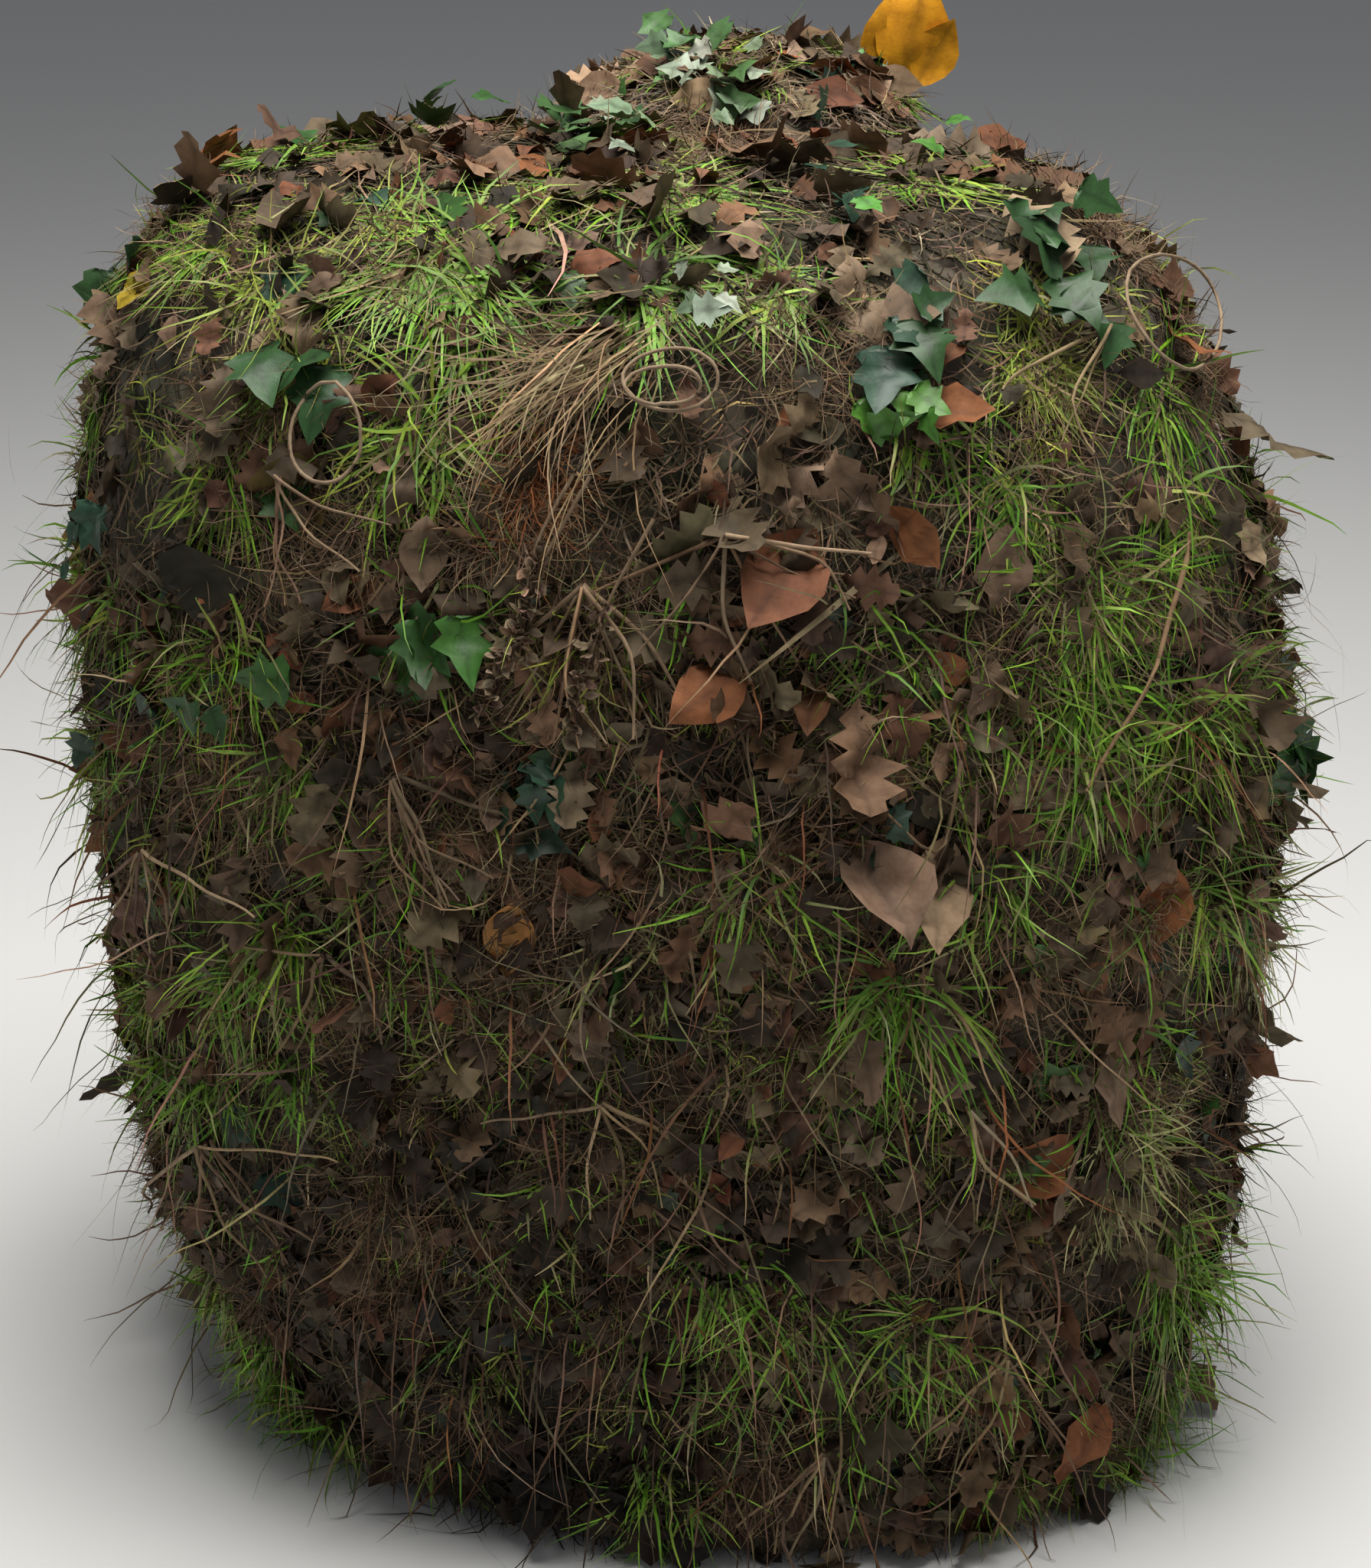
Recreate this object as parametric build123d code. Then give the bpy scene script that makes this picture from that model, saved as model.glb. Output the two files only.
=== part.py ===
"""Hooded ghillie cape, standing on its hem in the shape it takes on a kneeling wearer.

The frame has +Z up and its origin on the ground under the middle of the cape. The
wearer faces +Y, so the garnished back is towards -Y and the wearer's left is -X.
The cape is a stiffened cloth shell cut into panels, with a yoke over the shoulders,
a hood hinged at the nape, a face veil hinged at the hood's brow, a front flap that
opens on its side seam, and a cover over each arm slit. Webbing and netting lie on the
cloth, and the plant garnish stands on the netting as groups of plain solids.
All lengths are millimetres and all angles are degrees.
"""

import os
from math import cos, hypot, pi, radians, sin

from build123d import *

# The form of the cape: one row for each level, from the hem up to the shoulders.
# height, centre x, half width, depth behind, depth ahead, squareness, lean of the outward normal
LEVELS = [
    (0, 22, 357, 312, 326, 2.05, 0),
    (120, 6, 384, 332, 332, 2.3, 0),
    (300, 0, 410, 345, 335, 2.5, 0),
    (500, 2, 424, 345, 330, 2.6, 0),
    (660, -4, 422, 335, 320, 2.6, 8),
    (780, -14, 400, 315, 300, 2.6, 18),
    (870, -24, 364, 275, 270, 2.6, 38),
    (925, -32, 312, 215, 210, 2.5, 62),
    (950, -36, 240, 140, 140, 2.3, 80),
    (957, -36, 150, 62, 62, 2.1, 90),
]
HEM_SKEW = 50
OUTLINE_POINTS = 24
SHIFT = (0, 8, 0)

# Layers, as offsets from the cloth's outer face
WALL = 5
WEBBING = 2.5
NET_INSIDE = 3.5
NET_OUTSIDE = 5.5
GARNISH_BASE = 8
HEM_PROUD = 3
PAD_DEPTH = 9

# Seams between the panels, as bearings from +X and heights
SIDE_BACK = 308
SIDE_FRONT = 48
LEFT_FRONT = 132
LEFT_BACK = 232
HEM_TOP = 38
WAIST = 400
SHOULDER = 740
BODY_GAP = 2
FLAP_LIFT = 1.5
REACH = 900

# Front closure
PLACKET_LEFT = -40
PLACKET_RIGHT = 45
PLACKET_LOW = 60
PLACKET_HIGH = 725
PLACKET_GAP = 4
PLACKET_THICK = 3
STUD_X = 26
STUD_HEIGHTS = (120, 310, 500, 690)
STUD_RADIUS = 8
STUD_POST_RADIUS = 5
STUD_SEAT = 0.1

# Arm slits
ARM_BEARINGS = {"right": 27, "left": 153}
SLIT_LOW = 400
SLIT_HIGH = 600
SLIT_WIDE = 40
COVER_WIDE = 84
COVER_LOW = 375
COVER_HIGH = 625
COVER_GAP = 7
COVER_THICK = 4
COVER_CLEAR = 62

# Hood, veil and neck
HOOD_X = 50
HOOD_Y = 175
HOOD_Z = 890
HOOD_RADII = (155, 170, 115)
HOOD_WALL = 5
HOOD_CLEAR = 3
CROWN_HALF = 32
HOOD_HINGE = (34, 962)
FACE_Z = 888
FACE_HALF = (78, 56)
BRIM_WIDE = 7
BRIM_PROUD = 3
VEIL_GAP = 8
VEIL_THICK = 3
VEIL_HALF = 95
VEIL_BACK = 270
VEIL_LOW = 818
NECK_TILT = 24
NECK_HALF = (112, 100)
COLLAR_WALL = 4
COLLAR_PROUD = 7

# Eyelets
EYELET_RADIUS = 13
EYELET_HOLE = 6
EYELET_THICK = 2

# Webbing rows on the cloth
WEBBING_WIDE = 22
WEBBING_LOWS = (140, 345, 550, 660)
HOOD_ROOM = 16
EYELET_HEIGHT = 628
EYELET_BEARINGS = (216, 243, 270, 297, 324)

# Garnish: one plain solid for each plant, in rows round the cape
ROW_HEIGHTS = (95, 200, 305, 410, 515, 620, 725, 820)
COLUMN_STEP = 18
SEAM_CLEAR = 13
CENTRE_CLEAR = 12
ARM_CLEAR = 17
SPIN = 12
SPLIT_KINDS = ("grass", "oak", "beech")
CLUMPS = {"grass": (34, 20, 26), "moss": (38, 30, 14), "root": (36, 22, 20)}
LEAVES = {"oak": (44, 27, 5), "beech": (36, 22, 5), "ivy": (38, 30, 6)}
STEMS = {"twig": (4, 3, 84), "straw": (9, 6, 92), "seed": (8, 4, 90)}
VINE_RING = (26, 2.5)
UPRIGHT_LEAF = (28, 16, 3)
ROW_KINDS = (
    "grass oak beech root grass oak twig beech grass ivy",
    "oak beech grass moss oak root beech grass oak twig",
    "grass root oak ivy beech grass oak twig moss oak",
    "beech grass oak beech root oak grass ivy grass root",
    "oak twig root grass oak beech moss grass beech oak",
    "grass oak moss oak ivy grass root oak grass beech",
    "root grass beech grass oak twig grass moss oak grass",
    "grass ivy oak root grass beech ivy grass root oak",
)
SPECIAL_CELLS = {(820, 252): "straw", (725, 252): "seed", (820, 270): "vine", (820, 306): "vine"}
TOP_PLANTS = (
    ("grass", -300, -20),
    ("root", -215, -110),
    ("ivy", -225, 60),
    ("oak", -130, -200),
    ("grass", -40, -190),
    ("ivy", 50, -205),
    ("root", 140, -170),
    ("grass", 215, -80),
    ("moss", 225, 30),
)
HOOD_PLANTS = (("grass", 200, 58), ("ivy", 90, 66), ("oak", 340, 62), ("upright", 10, 40))
PLANT_NODES = {
    "grass": "grass_tufts", "moss": "moss_pads", "root": "root_fibre", "oak": "oak_leaves", "beech": "beech_leaves",
    "ivy": "ivy_sprigs", "twig": "twigs", "straw": "straw_bundle", "seed": "seed_head", "vine": "vine_rings",
}

def outline(level, offset):
    """Closed level curve of the cape's form, moved out by offset along its normal."""
    height, centre, half_width, behind, ahead, squareness, lean = level
    out = offset * cos(radians(lean))
    up = offset * sin(radians(lean))
    skew = HEM_SKEW * (1 - height / LEVELS[-1][0])
    points = []
    for step in range(OUTLINE_POINTS):
        turn = 2 * pi * step / OUTLINE_POINTS
        across = abs(cos(turn)) ** (2 / squareness) * (1 if cos(turn) >= 0 else -1)
        along = abs(sin(turn)) ** (2 / squareness) * (1 if sin(turn) >= 0 else -1)
        depth = ahead if along > 0 else behind
        x = centre + (half_width + out) * across - skew * along
        points.append((x, (depth + out) * along, height + up))
    return Wire([Edge.make_spline([Vector(p) for p in points], periodic=True)])


def form(offset):
    """Solid bounded by the cape's outer face, moved out by offset."""
    return Solid.make_loft([outline(level, offset) for level in LEVELS])


def shell(inside, outside):
    """Layer between two offsets of the cape's form. The ends are open at the ground."""
    return FORMS[outside] - FORMS[inside]


def sector(start, end, low, high):
    """Upright wedge between two bearings and two heights."""
    middle = (start + end) / 2
    corners = [(0, 0)]
    for bearing in (start, middle, end):
        corners.append((REACH * cos(radians(bearing)), REACH * sin(radians(bearing))))
    face = make_face(Polyline(*corners, close=True))
    return Pos(0, 0, low) * extrude(face, high - low)


def block(low, high):
    """Box between two corners."""
    size = [b - a for a, b in zip(low, high)]
    middle = [(a + b) / 2 for a, b in zip(low, high)]
    return Pos(*middle) * Box(*size)


def radial_block(bearing, wide, low, high, near=150):
    """Box that runs outward along a bearing, wide across it."""
    length = REACH - near
    box = Pos(near + length / 2, 0, (low + high) / 2) * Box(length, wide, high - low)
    return Rot(0, 0, bearing) * box


def hood_form(offset):
    """Solid of the hood's outer face, moved out by offset."""
    radii = tuple(float(radius + offset) for radius in HOOD_RADII)
    ball = scale(Sphere(1), by=radii)
    return Pos(HOOD_X, HOOD_Y, HOOD_Z) * ball


def face_prism(margin):
    """Elliptical prism through the hood's face opening, along +Y."""
    ellipse = Ellipse(FACE_HALF[0] + margin, FACE_HALF[1] + margin)
    return Plane((HOOD_X, HOOD_Y, FACE_Z), x_dir=(1, 0, 0), z_dir=(0, 1, 0)) * extrude(ellipse, 400)


def neck_prism(margin):
    """Elliptical prism through the neck hole, square to the slope of the shoulders."""
    ellipse = Ellipse(NECK_HALF[0] + margin, NECK_HALF[1] + margin)
    tilt = radians(NECK_TILT)
    plane = Plane((HOOD_X, HOOD_Y, HOOD_Z), x_dir=(1, 0, 0), z_dir=(0, sin(tilt), cos(tilt)))
    return plane * (Pos(0, 0, -60) * extrude(ellipse, 400))


def exit_place(solid, start, direction, spin=0):
    """Place on a solid where a ray from inside leaves it, with its z axis outward."""
    aim = Vector(direction)
    hits = solid.find_intersection_points(Axis(start, direction))
    point, normal = max(hits, key=lambda hit: (hit[0] - Vector(start)).dot(aim))
    if normal.dot(aim) < 0:
        normal = -normal
    up = Vector(0, 0, 1) - normal * normal.Z
    if up.length < 0.2:
        up = Vector(0, 1, 0) - normal * normal.Y
    return Location(Plane(point, x_dir=up.normalized(), z_dir=normal)) * Rot(0, 0, spin)


def cape_place(height, bearing, spin=0):
    """Place on the cloth's outer face at a height and a bearing."""
    direction = (cos(radians(bearing)), sin(radians(bearing)), 0)
    return exit_place(FORMS[0], (0, 0, height), direction, spin)


def plant(kind, place):
    """Plain solid that stands for one plant, on the netting at a place."""
    seat = place * Pos(0, 0, GARNISH_BASE)
    if kind in CLUMPS:
        base, tip, height = CLUMPS[kind]
        return seat * (Pos(0, 0, height / 2) * Cone(base, tip, height))
    if kind in LEAVES:
        half_long, half_wide, thick = LEAVES[kind]
        return seat * extrude(Ellipse(half_long, half_wide), thick)
    if kind in STEMS:
        base, tip, length = STEMS[kind]
        return seat * (Pos(0, 0, base + 1) * Rot(0, 90, 0) * Cone(base, tip, length))
    if kind == "vine":
        return seat * (Pos(0, 0, VINE_RING[1]) * Torus(*VINE_RING))
    half_long, half_wide, thick = UPRIGHT_LEAF
    return seat * (Pos(0, 0, half_long) * Rot(0, 90, 0) * extrude(Ellipse(half_long, half_wide), thick))


def disc_on(place, low, high, radius):
    """Round disc on a place, between two heights over it."""
    return place * (Pos(0, 0, (low + high) / 2) * Cylinder(radius, high - low))


def save(name, *shapes):
    """Writes one node, with its solids in the part's own frame."""
    solids = [Pos(*SHIFT) * solid for shape in shapes for solid in shape.solids()]
    group = solids[0] if len(solids) == 1 else Compound(children=solids)
    export_step(group, f"parts/{name}.step")


os.makedirs("parts", exist_ok=True)
OFFSETS = (
    -WALL - PAD_DEPTH, -WALL, 0, WEBBING, HEM_PROUD, NET_INSIDE, NET_OUTSIDE,
    COLLAR_PROUD, PLACKET_GAP, PLACKET_GAP + PLACKET_THICK, COVER_GAP, COVER_GAP + COVER_THICK,
)
FORMS = {offset: form(offset) for offset in sorted(set(OFFSETS))}

# Regions of the cape, one for each panel
flap_top = SHOULDER - BODY_GAP
flap_edge = radial_block(LEFT_FRONT, 2 * BODY_GAP, 0, SHOULDER, 0)
left_half = block((-REACH, 0, 0), (-BODY_GAP, REACH, SHOULDER))
right_half = block((0, 0, 0), (REACH, REACH, SHOULDER))
front = (SIDE_FRONT, LEFT_FRONT)
REGIONS = {
    "back_upper": sector(LEFT_BACK, SIDE_BACK, WAIST, SHOULDER),
    "back_lower": sector(LEFT_BACK, SIDE_BACK, HEM_TOP, WAIST),
    "side_right": sector(SIDE_BACK - 360, SIDE_FRONT, HEM_TOP, SHOULDER),
    "side_left": sector(LEFT_FRONT, LEFT_BACK, HEM_TOP, SHOULDER),
    "front_right": sector(*front, HEM_TOP, SHOULDER) & right_half,
    "front_left": (sector(*front, HEM_TOP, flap_top) & left_half) - flap_edge,
}
yoke_region = block((-REACH, -REACH, SHOULDER), (REACH, REACH, REACH + 200))

# Arm slits: a hole in each side panel, and a cover hinged at its front edge
slits = {}
for side, bearing in ARM_BEARINGS.items():
    slits[side] = radial_block(bearing, SLIT_WIDE, SLIT_LOW, SLIT_HIGH)
    region = radial_block(bearing, COVER_WIDE, COVER_LOW, COVER_HIGH)
    cover = (FORMS[COVER_GAP + COVER_THICK] & region) - FORMS[COVER_GAP]
    save(f"arm_cover_{side}", cover)
    box = (Pos(*SHIFT) * cover).bounding_box()
    print(f"arm_cover_{side} x {box.min.X:.1f} {box.max.X:.1f} y {box.min.Y:.1f} {box.max.Y:.1f}")

# Cloth panels
cloth = FORMS[0] - FORMS[-WALL]
names = {
    "back_upper": "back_panel_upper", "back_lower": "back_panel_lower",
    "side_right": "side_panel_right", "side_left": "side_panel_left",
    "front_right": "front_panel_right", "front_left": "front_flap",
}
for key, name in names.items():
    panel = cloth & REGIONS[key]
    if key.startswith("side"):
        panel = panel - slits[key.split("_")[1]]
    save(name, panel)
yoke = (cloth & yoke_region) - neck_prism(COLLAR_WALL)
save("shoulder_yoke", yoke)
ring = neck_prism(COLLAR_WALL) - neck_prism(0)
save("neck_collar", (FORMS[COLLAR_PROUD] & ring) - FORMS[-WALL])

# Hem casing, cut where the front flap carries its own length of it
hem = (FORMS[HEM_PROUD] & block((-REACH, -REACH, 0), (REACH, REACH, HEM_TOP))) - FORMS[-WALL]
flap_hem_region = sector(*front, FLAP_LIFT, HEM_TOP) & left_half
save("hem_casing", hem - (sector(*front, 0, HEM_TOP) & block((-REACH, 0, 0), (0, REACH, HEM_TOP))))
save("flap_hem_casing", (hem & flap_hem_region) - flap_edge)

# Shoulder pads under the yoke
pads = FORMS[-WALL] - FORMS[-WALL - PAD_DEPTH]
for side, centre in (("left", -235), ("right", 175)):
    save(f"shoulder_pad_{side}", pads & block((centre - 65, -130, 800), (centre + 65, 70, REACH + 200)))

# Front closure: a placket on the flap, studs on the fixed panel and caps over them
over = block((PLACKET_LEFT, 0, PLACKET_LOW), (PLACKET_RIGHT, REACH, PLACKET_HIGH))
under = block((PLACKET_LEFT, 0, PLACKET_LOW), (-BODY_GAP - 3, REACH, PLACKET_HIGH))
placket = (FORMS[PLACKET_GAP + PLACKET_THICK] & over) - FORMS[PLACKET_GAP]
placket = placket + ((FORMS[PLACKET_GAP] & under) - FORMS[0])
save("front_placket", placket)
studs = []
caps = []
for height in STUD_HEIGHTS:
    place = exit_place(FORMS[0], (STUD_X, 0, height), (0, 1, 0))
    studs.append(disc_on(place, STUD_SEAT, PLACKET_GAP - 1, STUD_POST_RADIUS))
    caps.append(disc_on(place, PLACKET_GAP + PLACKET_THICK, PLACKET_GAP + PLACKET_THICK + 3, STUD_RADIUS))
save("press_studs", *studs)
save("press_stud_caps", *[cap - FORMS[PLACKET_GAP + PLACKET_THICK] for cap in caps])

# Hood in three panels, its brim, and the veil in front of the face
clear_of_cape = FORMS[HEM_PROUD]
hood_outer = hood_form(0)
hood = hood_outer - hood_form(-HOOD_WALL) - clear_of_cape - face_prism(BRIM_WIDE)
crown_region = block((HOOD_X - CROWN_HALF, -REACH, 0), (HOOD_X + CROWN_HALF, REACH, 2 * REACH))
hood_left = block((-REACH, -REACH, 0), (HOOD_X - CROWN_HALF, REACH, 2 * REACH))
hood_right = block((HOOD_X + CROWN_HALF, -REACH, 0), (REACH, REACH, 2 * REACH))
crown_and_chin = (hood & crown_region).solids().sort_by(Axis.Z)
save("hood_crown", crown_and_chin[-1])
save("hood_chin", *crown_and_chin[:-1])
save("hood_side_left", hood & hood_left)
save("hood_side_right", hood & hood_right)
brim_ring = face_prism(BRIM_WIDE) - face_prism(0)
save("hood_brim", (hood_form(BRIM_PROUD) & brim_ring) - hood_form(-HOOD_WALL) - clear_of_cape)
veil_region = block((HOOD_X - VEIL_HALF, VEIL_BACK, VEIL_LOW), (HOOD_X + VEIL_HALF, REACH, 2 * REACH))
veil = (hood_form(VEIL_GAP + VEIL_THICK) & veil_region) - hood_form(VEIL_GAP)
save("face_veil", veil - FORMS[COVER_GAP + COVER_THICK])

# Webbing rows, netting and eyelets on the cloth
webbing = FORMS[WEBBING] - FORMS[0]
netting = FORMS[NET_OUTSIDE] - FORMS[NET_INSIDE]
covers = [radial_block(bearing, COVER_CLEAR, COVER_LOW - 6, COVER_HIGH + 6) for bearing in ARM_BEARINGS.values()]
covers = covers[0] + covers[1]
closure = block((PLACKET_LEFT - 4, 0, 0), (PLACKET_RIGHT + 4, REACH, SHOULDER))
rows = [block((-REACH, -REACH, low), (REACH, REACH, low + WEBBING_WIDE)) for low in WEBBING_LOWS]
areas = {
    "back": sector(LEFT_BACK, SIDE_BACK, HEM_TOP + 2, SHOULDER),
    "right": REGIONS["side_right"] - covers,
    "left": REGIONS["side_left"] - covers,
    "front_right": REGIONS["front_right"] - closure,
    "flap": REGIONS["front_left"] - closure,
}
for area, region in areas.items():
    layer = webbing & region
    save(f"webbing_{area}", *[layer & row for row in rows])
    net_region = region & block((-REACH, -REACH, HEM_TOP + 2), (REACH, REACH, SHOULDER))
    save(f"netting_{area}", netting & net_region)
hood_room = hood_form(HOOD_ROOM)
save("webbing_yoke", (webbing & block((-REACH, -REACH, 800), (REACH, REACH, 800 + WEBBING_WIDE))) - hood_room)
save("netting_yoke", (netting & yoke_region) - hood_room)
hood_net = (hood_form(NET_OUTSIDE) & block((-REACH, -REACH, 0), (REACH, HOOD_Y + 60, 2 * REACH))) - hood_form(NET_INSIDE)
save("netting_hood", hood_net - FORMS[COVER_GAP + COVER_THICK])
eyelets = []
for bearing in EYELET_BEARINGS:
    place = cape_place(EYELET_HEIGHT, bearing)
    ring = disc_on(place, 0, EYELET_THICK, EYELET_RADIUS) - disc_on(place, -1, EYELET_THICK + 1, EYELET_HOLE)
    eyelets.append(ring - FORMS[0])
save("eyelets", *eyelets)

# Garnish in cells round the cape, then over the shoulders and on the hood
plants = {}


def grow(node, kind, place):
    """Adds one plant to a node."""
    plants.setdefault(node, []).append(plant(kind, place))


def area_of(bearing):
    """Name of the area a bearing lies in, or None beside a moving edge."""
    if abs(bearing - LEFT_FRONT) < SEAM_CLEAR or abs(bearing - 90) < CENTRE_CLEAR:
        return None
    if bearing > 90 and bearing < LEFT_FRONT:
        return "flap"
    return "back" if LEFT_BACK < bearing < SIDE_BACK else "sides"


for row, height in enumerate(ROW_HEIGHTS):
    kinds = ROW_KINDS[row].split()
    for column in range(360 // COLUMN_STEP):
        bearing = column * COLUMN_STEP
        area = area_of(bearing)
        near_arm = any(abs(bearing - arm) < ARM_CLEAR for arm in ARM_BEARINGS.values())
        under_hood = height > SHOULDER and 30 < bearing < 150
        if area is None or under_hood or (near_arm and COVER_LOW - 60 < height < COVER_HIGH + 60):
            continue
        kind = SPECIAL_CELLS.get((height, bearing), kinds[column % len(kinds)])
        name = PLANT_NODES[kind]
        if area == "flap":
            name = "flap_grass" if kind in CLUMPS else "flap_leaves"
        elif kind in SPLIT_KINDS:
            name = f"{name}_{'top' if height > SHOULDER else area}"
        grow(name, kind, cape_place(height, bearing, SPIN * ((row + column) % 3 - 1)))
for kind, x, y in TOP_PLANTS:
    place = exit_place(FORMS[0], (x, y, 500), (0, 0, 1))
    grow(f"{PLANT_NODES[kind]}_top" if kind in SPLIT_KINDS else PLANT_NODES[kind], kind, place)
for kind, azimuth, elevation in HOOD_PLANTS:
    level = cos(radians(elevation))
    aim = (level * cos(radians(azimuth)), level * sin(radians(azimuth)), sin(radians(elevation)))
    place = exit_place(hood_outer, (HOOD_X, HOOD_Y, HOOD_Z), aim)
    names = {"upright": "hood_yellow_leaf"}
    grow(names.get(kind, "hood_tufts" if kind in CLUMPS else "hood_leaves"), kind, place)
for node, solids in plants.items():
    save(node, *solids)
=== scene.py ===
"""Looks of the ghillie cape: cloth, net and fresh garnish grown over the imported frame."""
import math

import bpy
import numpy as np
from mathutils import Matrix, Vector
from mathutils.bvhtree import BVHTree


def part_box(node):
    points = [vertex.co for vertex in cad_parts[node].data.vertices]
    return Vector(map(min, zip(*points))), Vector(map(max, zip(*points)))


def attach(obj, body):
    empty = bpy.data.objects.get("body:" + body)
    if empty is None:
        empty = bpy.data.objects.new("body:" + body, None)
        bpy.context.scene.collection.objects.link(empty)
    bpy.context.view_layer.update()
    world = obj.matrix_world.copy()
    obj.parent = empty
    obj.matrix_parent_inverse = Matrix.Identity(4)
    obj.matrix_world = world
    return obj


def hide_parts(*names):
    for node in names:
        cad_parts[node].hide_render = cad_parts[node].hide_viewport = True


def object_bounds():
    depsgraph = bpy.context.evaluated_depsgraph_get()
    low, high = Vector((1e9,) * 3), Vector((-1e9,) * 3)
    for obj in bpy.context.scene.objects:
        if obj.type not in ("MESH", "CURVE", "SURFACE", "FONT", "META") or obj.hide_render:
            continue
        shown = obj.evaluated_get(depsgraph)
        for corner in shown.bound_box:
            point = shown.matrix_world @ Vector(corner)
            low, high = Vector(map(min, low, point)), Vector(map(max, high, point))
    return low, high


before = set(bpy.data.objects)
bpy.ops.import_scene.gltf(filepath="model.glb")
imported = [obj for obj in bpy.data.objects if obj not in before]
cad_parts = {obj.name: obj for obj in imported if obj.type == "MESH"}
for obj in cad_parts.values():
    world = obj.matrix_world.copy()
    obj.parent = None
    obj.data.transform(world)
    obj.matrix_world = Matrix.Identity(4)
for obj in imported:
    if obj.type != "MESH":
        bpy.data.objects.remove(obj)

CAD_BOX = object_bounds()
rng = np.random.default_rng(7)

# ------------------------------------------------------------------ the cape's surface
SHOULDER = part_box("back_panel_upper")[1].z
HEM_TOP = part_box("hem_casing")[1].z
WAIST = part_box("back_panel_lower")[1].z
HEART = Vector((-0.02, 0.0, 0.60))
CROWN_SPAN = 0.42
WALL_ROWS, CROWN_ROWS, TURNS = 75, 50, 360
COVER_OUT = 0.011
CLOTH_NODES = ("back_panel_upper", "back_panel_lower", "side_panel_left", "side_panel_right",
               "front_panel_right",
               "front_flap", "shoulder_yoke", "hem_casing", "flap_hem_casing")
COVER_NODES = ("arm_cover_left", "arm_cover_right")
HOOD_NODES = ("hood_crown", "hood_side_left", "hood_side_right", "hood_chin")
ARM_BEARINGS = {"arm_cover_right": 27, "arm_cover_left": 153}


def tree_of(names):
    """Search tree over some CAD nodes, for rays."""
    points, faces = [], []
    for name in names:
        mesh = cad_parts[name].data
        start = len(points)
        points += [v.co.copy() for v in mesh.vertices]
        faces += [[i + start for i in p.vertices] for p in mesh.polygons]
    return BVHTree.FromPolygons(points, faces)


CLOTH_TREE = tree_of(CLOTH_NODES)
COVER_TREE = tree_of(COVER_NODES)
HOOD_TREE = tree_of(HOOD_NODES)


def outer_point(start, aim):
    """Outer face of the cloth along a ray from inside, or None in a slit or gap."""
    far = start + aim * 1.5
    hit, _, _, distance = CLOTH_TREE.ray_cast(far, -aim)
    if hit is not None and distance < 1.5:
        return hit
    hit, _, _, distance = COVER_TREE.ray_cast(far, -aim)
    return hit - aim * COVER_OUT if hit is not None and distance < 1.5 else None


def survey():
    """Grid of points on the cloth: rows up the wall and over the crown, one column a degree."""
    grid = np.zeros((WALL_ROWS + CROWN_ROWS, TURNS, 3))
    for turn in range(TURNS):
        angle = math.radians(turn)
        level = Vector((math.cos(angle), math.sin(angle), 0))
        rim = None
        for row in range(WALL_ROWS):
            z = 0.004 + (SHOULDER - 0.008) * row / (WALL_ROWS - 1)
            point = outer_point(Vector((0, 0, z)), level)
            if point is None:
                point = Vector(grid[row - 1, turn]) if row else level * 0.38
                point.z = z
            grid[row, turn] = point
            rim = point
        away = rim - HEART
        low = math.atan2(away.z, math.hypot(away.x, away.y))
        azimuth = math.atan2(away.y, away.x)
        for row in range(CROWN_ROWS):
            rise = low + (math.pi / 2 - low) * ((row + 1) / CROWN_ROWS) * 0.995
            aim = Vector((math.cos(rise) * math.cos(azimuth), math.cos(rise) * math.sin(azimuth),
                          math.sin(rise)))
            point = outer_point(HEART, aim)
            if point is None:
                point = Vector(grid[WALL_ROWS + row - 1, turn])
            grid[WALL_ROWS + row, turn] = point
    return grid


GRID = survey()
for _ in range(2):
    GRID = (GRID + np.roll(GRID, 1, 1) + np.roll(GRID, -1, 1)) / 3


def on_cape(turn, rise):
    """Points and outward normals at bearings in degrees and distances in metres up the cloth."""
    turn, rise = np.asarray(turn, float) % 360, np.asarray(rise, float)
    wall = np.clip(rise / SHOULDER, 0, 1) * (WALL_ROWS - 1)
    crown = np.clip((rise - SHOULDER) / CROWN_SPAN, 0, 1) * CROWN_ROWS
    row = np.clip(wall + crown, 0, WALL_ROWS + CROWN_ROWS - 1.001)

    def look(t, r):
        t0, r0 = np.floor(t).astype(int), np.floor(r).astype(int)
        ft, fr = (t - t0)[..., None], (r - r0)[..., None]
        r1 = np.minimum(r0 + 1, WALL_ROWS + CROWN_ROWS - 1)
        a, b = GRID[r0, t0 % TURNS], GRID[r0, (t0 + 1) % TURNS]
        c, d = GRID[r1, t0 % TURNS], GRID[r1, (t0 + 1) % TURNS]
        return (a * (1 - ft) + b * ft) * (1 - fr) + (c * (1 - ft) + d * ft) * fr

    here = look(turn, row)
    across = look(turn + 2, row) - look((turn - 2) % 360, row)
    along = look(turn, np.clip(row + 1.5, 0,
                               WALL_ROWS + CROWN_ROWS - 1.001)) - look(turn, np.clip(row - 1.5, 0, 999))
    normal = np.cross(across, along)
    normal /= np.maximum(np.linalg.norm(normal, axis=-1, keepdims=True), 1e-9)
    return here, normal


HOOD_MIDDLE = Vector((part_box("hood_crown")[0].x / 2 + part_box("hood_crown")[1].x / 2, 0.183, 0.89))
HOOD_RADII = np.array((0.155, 0.170, 0.115))
HEAD = np.array(HOOD_MIDDLE)


def on_hood(azimuth, rise):
    """Points and outward normals on the hood at azimuths and rises in degrees."""
    azimuth, rise = np.radians(azimuth), np.radians(rise)
    aim = np.stack([np.cos(rise) * np.cos(azimuth), np.cos(rise) * np.sin(azimuth), np.sin(rise)], -1)
    normal = aim / HOOD_RADII
    return HEAD + aim * HOOD_RADII, normal / np.linalg.norm(normal, axis=-1, keepdims=True)


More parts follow.
